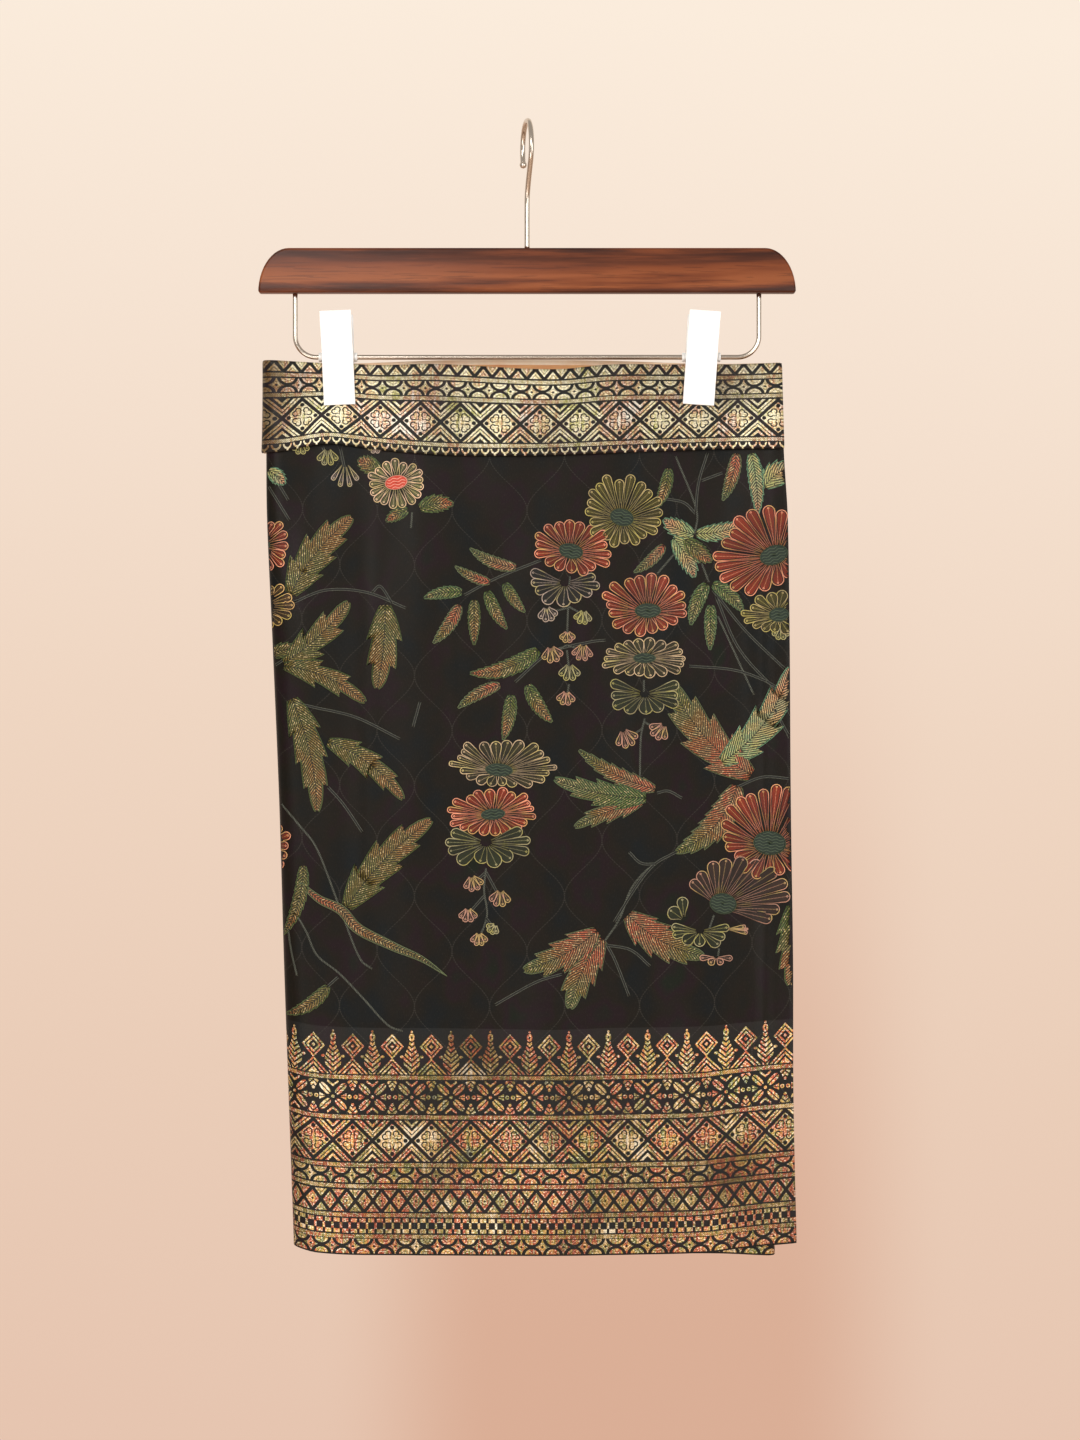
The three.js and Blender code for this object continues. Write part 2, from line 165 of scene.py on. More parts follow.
# Finer creases than the solids carry
FRONT_CREASES = table(
    FOLD_COLUMNS,
    (-160, 6, -0.7, -226, -420, -0.02),
    (-127, 6, 0.7, -215, -350, 0.05),
    (-95, 7, 0.6, -240, -620, -0.03),
    (-52, 6, -0.5, -260, -470, 0.03),
    (-6, 7, 0.5, -300, -690, -0.02),
    (34, 6, -0.5, -225, -430, 0.05),
    (84, 7, -0.6, -215, -500, -0.04),
    (121, 5, 0.7, -215, -330, 0.02),
    (149, 5, -0.6, -230, -500, 0.02),
    (161.5, 3.2, -0.40, -150, -850, 0.0),
    (168, 3.4, 0.30, -150, -850, 0.0),
    (-84, 8, -0.5, -600, -850, 0.0),
    (64, 7, 0.5, -610, -850, 0.0),
)
BACK_CREASES = table(
    FOLD_COLUMNS,
    (-155, 6, 0.6, -226, -450, 0.02),
    (-122, 6, -0.7, -215, -360, -0.05),
    (-66, 7, 0.6, -240, -640, 0.03),
    (6, 7, 0.5, -240, -520, 0.02),
    (58, 6, -0.5, -300, -700, -0.02),
    (110, 5, -0.7, -215, -350, 0.04),
    (152, 6, 0.6, -230, -600, -0.02),
)
RIPPLES = table(
    "depth across down phase",
    (0.22, 0.085, 0.021, 0.4),
    (0.16, 0.047, -0.035, 2.1),
    (0.10, 0.160, 0.028, 4.0),
    (0.09, -0.120, 0.060, 1.2),
)


# ---------------------------------------------------------------- the form of the wrap
def mix(a, b, share):
    return a + (b - a) * share


def ease(start, end, value):
    share = np.clip((value - start) / (end - start), 0, 1)
    return share * share * (3 - 2 * share)


def unit_rows(values):
    return values / np.maximum(np.linalg.norm(values, axis=-1, keepdims=True), NO_EDGE)


def along(rows, axis, column, at):
    """A smooth curve through one column of a table."""
    order = np.argsort(rows[axis])
    a, c = rows[axis][order], rows[column][order]
    ahead, behind = np.r_[1:len(a), len(a) - 1], np.r_[0, 0:len(a) - 1]
    slope = (c[ahead] - c[behind]) / (a[ahead] - a[behind])
    at = np.clip(at, a[0], a[-1])
    k = np.clip(np.searchsorted(a, at, side="right") - 1, 0, len(a) - 2)
    span = a[k + 1] - a[k]
    t = (at - a[k]) / span
    bend = slope[k] * (1 - t) - slope[k + 1] * t
    return c[k] + (c[k + 1] - c[k]) * t * t * (3 - 2 * t) + span * t * (1 - t) * bend


def held(x, z):
    """1 where a clip holds the cloth flat, 0 where it hangs free."""
    nearest = np.minimum(*(np.abs(x - place) for _, place, _ in CLIPS))
    across = 1 - ease(HOLD["half"], HOLD["reach"], nearest)
    return across * ease(HOLD["below"] - HOLD["fade"], HOLD["below"], z)


def fold_depth(folds, x, z):
    total = 0
    for mid, width, depth, top, bottom, lean in zip(*folds.values()):
        middle = mid + lean * (top - z)
        fade = ease(top, top - FOLD_FADE, z) * ease(bottom, bottom + FOLD_FADE, z)
        total = total + depth * fade * np.exp(-(((x - middle) / width) ** 2))
    return total


def ripple(x, z):
    waves = zip(*RIPPLES.values())
    return sum(d * np.sin(a * x + b * z + p + 0.7 * np.sin(0.02 * z)) for d, a, b, p in waves)


def stand_off(side, x, z):
    """Distance of the cloth's middle from the centre plane, on the front or the back."""
    folds, creases = (FRONT_FOLDS, FRONT_CREASES) if side == "front" else (BACK_FOLDS, BACK_CREASES)
    free = along(OPENING, "z", side, z) + fold_depth(folds, x, z)
    free = free + fold_depth(creases, x, z) + ripple(x, z) * ease(FREE_FROM, FREE_BY, z)
    return mix(free, PINCHED, held(x, z))


def underlap_off(x, z):
    return stand_off("front", x, z) - mix(UNDERLAP_STEP, PINCHED, held(x, z))


def wrap_middle(stretch, value, z):
    """The cloth's middle on one stretch of the wrap: a share of a flat, or an angle of a fold."""
    left = along(OUTLINE, "z", "left", z) + CLOTH / 2
    right = along(OUTLINE, "z", "fold", z) - CLOTH / 2
    nose = along(OPENING, "z", "nose", z)
    flat_left, flat_right = left + nose, right - nose / 2
    if stretch == "front":
        x = mix(flat_left, along(OUTLINE, "z", "edge", z), value)
        return x, -stand_off("front", x, z)
    if stretch == "left_fold":
        x = left + nose * (1 - math.cos(value))
        side = "back" if value < 0 else "front"
        return x, -math.sin(value) * stand_off(side, x, z)
    if stretch == "back":
        x = mix(flat_left, flat_right, value)
        return x, stand_off("back", x, z)
    if stretch == "right_fold":
        x = right - nose / 2 * (1 - math.cos(value))
        depth = stand_off("back", x, z) if value < 0 else underlap_off(x, z)
        return x, -math.sin(value) * depth
    x = flat_right - value * UNDERLAP_WIDTH
    return x, -underlap_off(x, z)


def stretch_steps(*stretches):
    """Places along the wrap: (stretch, value, how far behind: 0 in front, 1 at the back)."""
    places = []
    for name, start, end, steps in stretches:
        for i in range(0 if not places else 1, steps + 1):
            value = mix(start, end, i / steps)
            behind = 0 if name == "front" else 1
            if name == "left_fold":
                behind = float(ease(math.pi / 2, -math.pi / 2, value))
            places.append((name, value, behind))
    return places


def wrap_grid(places, top, bottom, rows, foot):
    """Middle points of the cloth, one column for each place, and how far along each lies."""
    shares = np.linspace(0, 1, rows + 1)
    grid = np.zeros((len(places), rows + 1, 3))
    for i, (stretch, value, behind) in enumerate(places):
        z = mix(WAIST, foot, shares)
        for _ in range(2):
            x, y = wrap_middle(stretch, value, z)
            z = mix(top(x, behind), bottom(x, behind), shares)
        x, y = wrap_middle(stretch, value, z)
        grid[i] = np.stack([x, y, z], axis=-1)
    # how far along the cloth: x itself on the front, and the length of cloth from there on
    step = np.linalg.norm(np.diff(grid[:, :, :2], axis=0), axis=-1)
    run = np.zeros(grid.shape[:2])
    run[0] = grid[0, :, 0]
    for i in range(1, len(places)):
        front = places[i][0] == "front"
        run[i] = grid[i, :, 0] if front else run[i - 1] - step[i - 1]
    return grid, run


def grid_normals(grid):
    return unit_rows(np.cross(np.gradient(grid, axis=0), np.gradient(grid, axis=1)))


ATTRIBUTE_KINDS = {1: ("FLOAT", "value"), 3: ("FLOAT_VECTOR", "vector"), 4: ("FLOAT_COLOR", "color")}


def make_mesh(name, points, faces, materials, choice=None, smooth=True, **attributes):
    """A mesh object from points in millimetres, with named values on its points."""
    mesh = bpy.data.meshes.new(name)
    mesh.from_pydata((np.asarray(points) * MM).tolist(), [], faces)
    for attribute, values in attributes.items():
        values = np.asarray(values, float)
        kind, slot = ATTRIBUTE_KINDS[values.shape[-1] if values.ndim > 1 else 1]
        mesh.attributes.new(attribute, kind, "POINT").data.foreach_set(slot, values.ravel())
    for material in materials:
        mesh.materials.append(material)
    if choice is not None:
        mesh.polygons.foreach_set("material_index", np.asarray(choice, np.int32))
    mesh.polygons.foreach_set("use_smooth", [smooth] * len(mesh.polygons))
    mesh.update()
    thing = bpy.data.objects.new(name, mesh)
    bpy.context.scene.collection.objects.link(thing)
    return thing


# ---------------------------------------------------------------- shader sums
class Num:
    """A number that varies over a surface. Its operators add Math nodes."""

    def __init__(self, finish, socket):
        self.finish, self.socket = finish, socket

    def math(self, operation, *others):
        node = self.finish.tree.nodes.new("ShaderNodeMath")
        node.operation = operation
        for socket, value in zip(node.inputs, (self, *others)):
            self.finish.feed(socket, value)
        return Num(self.finish, node.outputs[0])

    def __add__(self, other): return self.math("ADD", other)
    def __radd__(self, other): return self.math("ADD", other)
    def __sub__(self, other): return self.math("SUBTRACT", other)
    def __rsub__(self, other): return self.math("MULTIPLY", -1.0).math("ADD", other)
    def __mul__(self, other): return self.math("MULTIPLY", other)
    def __rmul__(self, other): return self.math("MULTIPLY", other)
    def __truediv__(self, other): return self.math("DIVIDE", other)
    def __abs__(self): return self.math("ABSOLUTE")
    def __lt__(self, other): return self.math("LESS_THAN", other)
    def __gt__(self, other): return self.math("GREATER_THAN", other)
    def __and__(self, other): return self.math("MINIMUM", other)
    def __or__(self, other): return self.math("MAXIMUM", other)

    def fract(self): return self.math("FRACT")
    def floor(self): return self.math("FLOOR")
    def sine(self): return self.math("SINE")

    def cell(self, period):
        """Distance to the nearest multiple of period, with its sign."""
        return ((self / period + 0.5).fract() - 0.5) * period

    def count(self, period):
        return (self / period + 0.5).floor()

    def between(self, low, high):
        return (self > low) & (self < high)

    def ease(self, low, high):
        node = self.finish.node(
            "ShaderNodeMapRange", dict(interpolation_type="SMOOTHSTEP"),
            {"Value": self, "From Min": low, "From Max": high})
        return Num(self.finish, node.outputs[0])


class Finish:
    """A material and the nodes that make its colour, gloss and relief."""

    def __init__(self, name):
        self.material = bpy.data.materials.new(name)
        self.material.use_nodes = True
        self.tree = self.material.node_tree
        self.shader = self.tree.nodes["Principled BSDF"]

    def feed(self, socket, value):
        if isinstance(value, Num):
            self.tree.links.new(value.socket, socket)
        elif isinstance(value, bpy.types.NodeSocket):
            self.tree.links.new(value, socket)
        elif isinstance(value, tuple) and len(value) == 3 and socket.type == "RGBA":
            socket.default_value = (*value, 1)
        else:
            socket.default_value = value

    def node(self, kind, settings=None, values=None):
        node = self.tree.nodes.new(kind)
        for key, value in (settings or {}).items():
            setattr(node, key, value)
        for key, value in (values or {}).items():
            self.feed(node.inputs[key], value)
        return node

    def place(self):
        return self.node("ShaderNodeTexCoord").outputs["Object"]

    def attribute(self, name, output="Vector"):
        return self.node("ShaderNodeAttribute", dict(attribute_name=name)).outputs[output]

    def threads(self):
        """A figure's lengths in millimetres (to its edge, along, across), its fill and its line."""
        colours = [self.attribute(name, "Color") for name in ("fill", "line")]
        return (*self.parts(self.attribute("thread")), *colours)

    def parts(self, vector):
        split = self.node("ShaderNodeSeparateXYZ", None, {0: vector})
        return [Num(self, out) for out in split.outputs]

    def vector(self, x, y, z):
        return self.node("ShaderNodeCombineXYZ", None, {0: x, 1: y, 2: z}).outputs[0]

    def scaled(self, vector, factors):
        node = self.node("ShaderNodeVectorMath", dict(operation="MULTIPLY"), {0: vector, 1: factors})
        return node.outputs[0]

    def noise(self, vector, scale, detail):
        node = self.node("ShaderNodeTexNoise", None, {"Vector": vector, "Scale": scale, "Detail": detail})
        return Num(self, node.outputs[0])

    def chance(self, *cells):
        """A fixed random number for each cell of a repeat."""
        values = {"Vector": self.vector(*cells, 0.0)}
        node = self.node("ShaderNodeTexWhiteNoise", dict(noise_dimensions="3D"), values)
        return Num(self, node.outputs["Value"])

    def mix(self, factor, a, b):
        node = self.node("ShaderNodeMix", dict(data_type="RGBA"))
        for index, value in ((0, factor), (6, a), (7, b)):
            self.feed(node.inputs[index], value)
        return node.outputs[2]

    def ramp(self, number, *stops):
        """A colour for each number, between stops given as (number, red, green, blue)."""
        node = self.node("ShaderNodeValToRGB", None, {0: number})
        elements = node.color_ramp.elements
        while len(elements) < len(stops):
            elements.new(1)
        for element, (place, *colour) in zip(elements, stops):
            element.position, element.color = place, (*srgb(*colour), 1)
        return node.outputs[0]

    def bump(self, height, depth, strength):
        node = self.node("ShaderNodeBump", None, {"Height": height, "Distance": depth, "Strength": strength})
        return node.outputs[0]

    def done(self, **values):
        for key, value in values.items():
            self.feed(self.shader.inputs[key.replace("_", " ")], value)
        return self.material


def srgb(red, green, blue):
    """A colour given as a screen shows it, 0 to 255."""
    level = lambda c: c / 12.92 if c <= 0.04045 else ((c + 0.055) / 1.055) ** 2.4
    return tuple(level(c / 255) for c in (red, green, blue))


# ---------------------------------------------------------------- finishes of the cloth
BLACK_YARN = srgb(21, 19, 17)
# Repeats of the woven border along the cloth, and the middles of its rows above the selvedge
DIAMOND_REPEAT, ROUND_REPEAT, LOZENGE_REPEAT, BLOCK_REPEAT = 26.72, 14.3, 11.7, 5.85
PATTERN_START = 15.2
ROW = dict(selvedge=5.6, blocks=19.6, lozenges=36.5, rounds=53.7, diamonds=77.4, flowers=107.0, crest=141.4)
ROPES = (12.3, 26.8, 46.4, 60.8, 93.4, 120.3)
ROPE_HALF = 1.3


def metallic_yarn(f, u, v, cells, band):
    """The bright yarn's colour: dye zones, streaks along the warp, strands with dark gaps, and painted light:
    glints and sheen zones lighten some places and painted shade darkens others.
    """
    zone = f.noise(f.vector(u * 0.030, v * 0.020, 0.0), 1.0, 2.0)
    streak = f.noise(f.vector(u * 0.55, v * 0.035, 4.0), 1.0, 2.0)
    patch = f.noise(f.vector(u * 0.12, v * 0.10, 9.0), 1.0, 1.0)
    parts = ((zone, 1.5), (streak, 0.9), (patch, 0.7), (f.chance(*cells), 0.3))
    pick = sum((part - 0.5) * weight for part, weight in parts) + 0.55
    if band:
        stops = ((0.0, 126, 134, 66), (0.22, 196, 194, 112), (0.42, 246, 238, 206),
                 (0.58, 222, 206, 146), (0.74, 196, 134, 98), (1.0, 252, 248, 232))
    else:
        stops = ((0.0, 118, 134, 122), (0.24, 140, 144, 48), (0.38, 240, 190, 100),
                 (0.50, 214, 96, 64), (0.56, 196, 86, 60), (0.66, 126, 138, 70),
                 (0.82, 246, 198, 118), (1.0, 255, 242, 212))
    colour = f.ramp(pick, *stops)
    strands = ((u * 0.75 + v * 1.15) / 1.2).fract()
    painted_glint = f.noise(f.vector(u * 0.75, v * 1.2, 2.0), 1.0, 2.0)
    painted_sheen = f.noise(f.vector(u * 0.013, v * 0.012, 6.0), 1.0, 1.0)
    # painted shade: darker in the gaps between strands and where the painted glint and sheen noises run low
    shade = strands.ease(0.25, 0.7) * 0.34 + (0.58 - painted_glint) * 1.2 + (0.57 - painted_sheen) * 1.4
    dark = f.mix(shade, colour, srgb(70, 42, 22))
    # painted highlight: cream glints where the painted glint and sheen noises run high
    bright = f.mix(painted_glint.ease(0.52, 0.66) * (painted_sheen * 2.6 - 0.55), dark, srgb(255, 246, 218))
    if band:
        # painted shade: the band's left end, where it turns away round the fold, is darkened to brown
        turned = 1 - f.parts(f.place())[0].ease(-0.172, -0.160)
        bright = f.mix(turned * 0.8, bright, srgb(96, 68, 34))
    return bright, strands


def satin_ground(f, u, v):
    """Black satin with faint dyed blotches, twill and a tone-on-tone ogee lattice."""
    blot = f.noise(f.vector(u * 0.035, v * 0.028, 3.0), 1.0, 2.0)
    ground = f.ramp(blot, (0.30, 13, 17, 18), (0.42, 18, 17, 13), (0.52, 23, 18, 11),
                    (0.61, 27, 14, 18), (0.72, 17, 22, 12))
    sway = ((v * (2 * math.pi / 75)).sine() + 1) * 12.75
    wire = (abs((u - sway).cell(51)) < 0.38) | (abs((u + sway).cell(51)) < 0.38)
    wire = wire & ((v / 1.5).fract() > 0.3)
    ground = f.mix(wire * 0.6, ground, srgb(54, 51, 45))
    twill = ((u * 0.9 + v) / 1.25).fract()
    grain = f.noise(f.vector(u * 1.4, v * 0.5, 1.0), 1.0, 1.0)
    return f.mix(grain.ease(0.5, 0.8) * 0.25, ground, srgb(48, 42, 34)), wire, twill, grain


def inside_oval(x, y, reach_x, reach_y):
    """Below 1 inside an oval of this reach, above 1 outside."""
    return (x / reach_x) * (x / reach_x) + (y / reach_y) * (y / reach_y)


def any_of(masks):
    return functools.reduce(lambda a, b: a | b, masks)


def border_figures(f, u, v, band):
    """Masks of the woven border, v up from its selvedge: figures, ropes, and each repeat's cell."""
    marks = []

    def row(low, high, mask):
        marks.append(v.between(low, high) & mask)

    phase = u - PATTERN_START
    c, c2 = (abs((phase - shift).cell(DIAMOND_REPEAT)) for shift in (0.0, DIAMOND_REPEAT / 2))
    # hollow-sided diamonds between half rounds, on the selvedge and again higher up
    for middle, start in ((ROW["selvedge"], -89.6), (ROW["rounds"], -90.4)):
        w = abs(v - middle)
        s, s2 = (abs((u - start - shift).cell(ROUND_REPEAT)) for shift in (0.0, ROUND_REPEAT / 2))
        d = s * 0.8 + w
        star = (inside_oval(s2, w - 5.4, 6.9, 5.75) > 1) & (d > 0.95) & (1 - d.between(2.4, 2.9) * 0.6)
        reach = inside_oval(s2, w - 5.4, 4.6, 3.9)
        row(middle - 4.9, middle + 4.9, star | ((reach < 1) & (1 - reach.between(0.28, 0.42) * 0.6)))
    # lozenges with pierced middles and small peaks between
    w = abs(v - ROW["lozenges"])
    d = abs((u + 87.2).cell(LOZENGE_REPEAT)) / (LOZENGE_REPEAT / 2) + w / 7.6
    lozenges = (d < 0.76) & (1 - d.between(0.42, 0.54) * 0.6) & (d > 0.14)
    row(29.2, 43.8, lozenges | ((d > 1.26) & (1 - d.between(1.50, 1.64) * 0.6)))
    # three courses of blocks
    side = abs((u + 117.5).cell(BLOCK_REPEAT))
    level = abs(v - ROW["blocks"])
    row(14.6, 24.5, ((level > 2.3) & (side < 2.05)) | ((level < 2.0) & (side > 2.15)))
    # large diamonds, each with a four-lobed flower and dark corners, and nested chevrons between
    w = abs(v - ROW["diamonds"])
    d = c / (DIAMOND_REPEAT / 2) + w / 13.3
    aside, out = abs(c - w), c + w
    lobes = inside_oval(c - 4.7, w - 2.7, 2.05, 2.05) & inside_oval(c - 2.7, w - 4.7, 2.05, 2.05)
    point = (aside - (out - 2.2) * 0.8) / 1.2
    outside = (lobes - 1) & (point | ((out - 8.4) / 1.5))
    seeds = inside_oval(c - 9.1, w, 1.45, 1.45) & inside_oval(c, w - 8.9, 1.45, 1.45)
    far = d - 1
    nest = far.between(0.13, 0.26) | far.between(0.33, 0.47) | far.between(0.66, 0.82)
    body = (d < 0.87) & (outside.between(-0.56, 0.2) < 0.5) & (seeds > 1)
    row(63.4, 91.0, body | nest)
    if band:
        curl = inside_oval(abs(phase.cell(DIAMOND_REPEAT / 2)) - 3.4, v - 95.6, 2.9, 3.9)
        row(95.6, 99.6, curl.between(0.42, 1.0))
    else:
        # flowers of four split petals, wings and darts, with small trees and beads between
        w = abs(v - ROW["flowers"])
        out, off = (c2 + w) * 0.7071, abs(c2 - w) * 0.7071
        bow = (out - 7.5) / 5.2
        split = (off < 2.1 - bow * bow * bow * bow * 1.9) & (off > 0.4) & out.between(3.0, 12.2)
        wings = (w - c2 * 0.8).between(6.8, 8.4) & (c2 < 3.9)
        dart = (w < (c2 - 4.6) * 0.5) & (c2 < 9.2) & (w > 0.3)
        beads = inside_oval(c - 2.0, w, 1.4, 1.4).between(0.14, 1.0)
        tree = (c < (w - 3.2) * 0.5) & (((w + c * 0.9) / 3.3).fract() > 0.36)
        row(95.8, 118.0, split | wings | dart | beads | tree | (inside_oval(c2, w, 1, 1) < 1.2))
        # the crest: nested diamonds over chevrons, and feathered spears
        w = abs(v - ROW["crest"])
        d = c / 7.7 + w / 8.4
        rings = d.between(0.82, 1.02) | d.between(0.44, 0.66) | (d < 0.17)
        below = 133.6 - v - c * 1.04
        arms = below.between(0.2, 1.7) | below.between(3.2, 4.9) | (below > 6.9)
        seeds = inside_oval(c - 6.6, v - 134.4, 1.3, 0.9) < 1
        half = v.ease(121.5, 130.5) * 3.9 + 1.6 - v.ease(132, 145) * 3.9
        spear = (c2 < half) & (((v - c2 * 0.9) / 3.5).fract() > 0.42) & (v < 144.6)
        bulb = inside_oval(c2, v - 147.6, 1.9, 2.7)
        bulb = bulb.between(0.12, 1.0) | (inside_oval(c2, v - 151.4, 0.7, 0.9) < 1)
        row(122.5, 152.4, rings | (arms & (v < 133.8)) | seeds | spear | bulb)
    # twisted lines between the rows
    ropes = [abs(v - middle) < ROPE_HALF for middle in ROPES]
    lays = [((u + (v - middle) * 1.1) / 1.35).fract() > 0.40 for middle in ROPES]
    twist = any_of(rope & lay for rope, lay in zip(ropes, lays))
    cells = (phase.count(DIAMOND_REPEAT), (v / 14.5).floor())
    return any_of(marks), any_of(ropes), twist, cells


def cloth_finish(name, border=True, band=False):
    f = Finish(name)
    u, v, _ = f.parts(f.attribute("weave"))
    ground, wire, twill, grain = satin_ground(f, u, v)
    height = twill * 0.25 + wire * 0.4
    if border:
        figures, ropes, twist, cells = border_figures(f, u, v, band)
        yarn, strands = metallic_yarn(f, u, v, cells, band)
        yarn = f.mix((ropes & (twist < 0.5)) * 0.8, yarn, srgb(58, 44, 28))
        mask = figures | ropes
        relief = mask + twist * 0.4 + strands * mask * 0.35 + height * 0.4
        return f.done(Base_Color=f.mix(mask, ground, yarn), Roughness=0.48 - mask * 0.10,
                      Metallic=mask * 0.30, Specular_IOR_Level=0.22, Normal=f.bump(relief, 0.00018, 0.8))
    return f.done(Base_Color=ground, Roughness=0.46 - grain * 0.10 + wire * 0.05,
                  Specular_IOR_Level=0.12, Normal=f.bump(height, 0.00006, 0.6))


def reverse_finish(name, pale, deep):
    """The wrong side: floats of pale yarn."""
    f = Finish(name)
    u, v, _ = f.parts(f.attribute("weave"))
    zone = f.noise(f.vector(u * 0.03, v * 0.02, 5.0), 1.0, 3.0)
    floats = (u / 0.8).fract()
    colour = f.mix(zone.ease(0.35, 0.65), pale, deep)
    return f.done(
        Base_Color=f.mix(floats.ease(0.1, 0.9) * 0.25, colour, srgb(120, 76, 40)), Roughness=0.6,
        Normal=f.bump(floats, 0.00012, 0.6))


def leaf_finish():
    """Threads slanting from a dark midrib, flecked with painted glints and dyed, with a barbed edge."""
    f = Finish("leaf_threads")
    edge, reach, across, fill, line = f.threads()
    where = f.place()
    wobble = f.noise(where, 420, 2.0)
    side = abs(across)
    rib = ((reach - side * 0.95) / 2.15 + wobble * 0.4).fract()
    strand = rib > 0.54
    dye = f.noise(where, 110, 2.0)
    fleck = f.noise(where, 900, 1.0)
    body = f.mix(dye.ease(0.42, 0.60) * 0.5, fill, line)
    # painted highlight: pale flecks stand for glints on the threads
    body = f.mix(fleck.ease(0.55, 0.68) * 0.6, body, srgb(232, 206, 150))
    body = f.mix(strand, f.mix(0.90, body, BLACK_YARN), body)
    body = f.mix((side < 0.30) * 0.8, body, srgb(26, 30, 20))
    barb = ((reach - side * 0.6) / 1.15).fract() > 0.5
    rim = (edge < 0.34) | (edge.between(0.34, 0.85) & barb)
    colour = f.mix(edge.between(0.34, 0.95), body, BLACK_YARN)
    colour = f.mix(rim * 0.85, colour, line)
    return f.done(Base_Color=colour, Roughness=0.44, Metallic=strand * 0.25, Specular_IOR_Level=0.25,
                  Normal=f.bump(strand | rim, 0.00014, 0.7))


def petal_finish():
    """A pale outline, a dark line inside it, fine strands, a row of stitches and a seed near the tip."""
    f = Finish("petal_threads")
    edge, tip, across, fill, line = f.threads()
    where = f.place()
    wobble = f.noise(where, 600, 1.0)
    fleck = f.noise(where, 1100, 1.0)
    strands = (across / 0.8 + wobble * 0.8).fract() > 0.45
    body = f.mix(strands * 0.55 + 0.15, fill, BLACK_YARN)
    dye = f.noise(where, 130, 2.0)
    pale = f.mix(dye.ease(0.46, 0.60) * 0.45, f.mix(0.10, line, srgb(255, 232, 210)), srgb(176, 168, 70))
    dots = (abs(across) < 0.24) & ((tip / 0.95).fract() > 0.42) & (tip > 1.6)
    seed = (tip - 2.0) * (tip - 2.0) + across * across
    seed, rim = seed.between(0.12, 0.5), edge < 0.58
    body = f.mix(dots * 0.6, body, pale)
    body = f.mix(edge.between(0.58, 1.2) * 0.92, body, BLACK_YARN)
    body = f.mix(seed, body, pale)
    outline = rim * (fleck * 0.9 + 0.6) * (1 - tip.ease(5, 12) * 0.7)
    return f.done(Base_Color=f.mix(outline, body, pale), Roughness=0.44, Metallic=0.12,
                  Specular_IOR_Level=0.22, Normal=f.bump(rim | seed | (strands * 0.4), 0.00016, 0.7))


def disk_finish():
    """A flower's middle with wavy lines across it."""
    f = Finish("flower_centre_threads")
    edge, x, z, fill, line = f.threads()
    wave = ((z + (x * 1.1).sine() * 0.45) / 2.0).fract()
    lines = wave.between(0.2, 0.42) & (edge > 0.7)
    colour = f.mix(lines * 0.7 | (edge < 0.32) * 0.6, fill, line)
    return f.done(Base_Color=colour, Roughness=0.5, Specular_IOR_Level=0.25,
                  Normal=f.bump(lines, 0.00012, 0.7))


def stem_finish():
    """Two fine lines, or one twisted cord where the fill says so."""
    f = Finish("stem_threads")
    edge, reach, across, fill, line = f.threads()
    wobble = f.noise(f.place(), 700, 1.0)
    rungs = ((reach + across) / 1.3).fract() > 0.5
    twisted = f.parts(fill)[0] > 0.5
    mask = ((edge < 0.30) & (twisted < 0.5)) | (rungs & twisted)
    colour = f.mix(mask * (wobble * 0.9 + 0.3), BLACK_YARN, line)
    return f.done(Base_Color=colour, Roughness=0.5, Specular_IOR_Level=0.25, Normal=f.bump(mask, 0.0001, 0.7))


# ---------------------------------------------------------------- cloth pieces
ROUND_TURNS = (55, 90, 125)  # how a slab's edge goes round, in degrees


def slab(name, grid, outer, inner, weave, materials, choose, roundness=0.8):
    """A closed wall of cloth on a grid of middle points, its four edges rounded."""
    normals = grid_normals(grid)
    front = grid + normals * outer[..., None]
    back = grid + normals * inner[..., None]
    columns, rows = grid.shape[:2]
    number = np.arange(columns * rows).reshape(columns, rows)
    quads = np.stack([number[:-1, :-1], number[1:, :-1], number[1:, 1:], number[:-1, 1:]], -1).reshape(-1, 4)
    ring = [(i, 0) for i in range(columns)] + [(columns - 1, j) for j in range(1, rows)]
    ring += [(i, rows - 1) for i in range(columns - 2, -1, -1)] + [(0, j) for j in range(rows - 2, 0, -1)]
    ring = np.array(ring)

    def at(values):
        return values[ring[:, 0], ring[:, 1]]

    away = 0
    for axis, last in ((0, columns - 1), (1, rows - 1)):
        place = ring[:, axis:axis + 1]
        sign = (place == last) * 1.0 - (place == 0) * 1.0
        away = away + unit_rows(at(np.gradient(grid, axis=axis))) * sign
    away = unit_rows(away)
    wall = at(outer - inner)[:, None] / 2
    middle = (at(front) + at(back)) / 2
    points, uvs = [front.reshape(-1, 3), back.reshape(-1, 3)], [weave.reshape(-1, 3)] * 2
    loops = [at(number)]
    total = 2 * columns * rows
    for turn in ROUND_TURNS:
        turn = math.radians(turn)
        side = unit_rows(at(normals)) * math.cos(turn)
        points.append(middle + (away * math.sin(turn) * roundness + side) * wall)
        uvs.append(at(weave))
        loops.append(np.arange(total, total + len(ring)))
        total += len(ring)
    loops.append(at(number) + columns * rows)
    faces = [quads, quads[:, ::-1] + columns * rows]
    for a, b in zip(loops, loops[1:]):
        faces.append(np.stack([np.roll(a, -1), a, b, np.roll(b, -1)], -1))
    faces = np.concatenate(faces)
    points, uvs = np.concatenate(points), np.concatenate(uvs)
    inside = np.zeros(len(faces), bool)
    inside[len(quads):2 * len(quads)] = True
    inside[2 * len(quads) + 2 * len(ring):] = True
    choice = choose(uvs[faces].mean(axis=1), inside)
    return make_mesh(name, points, faces.tolist(), materials, choice, weave=uvs)


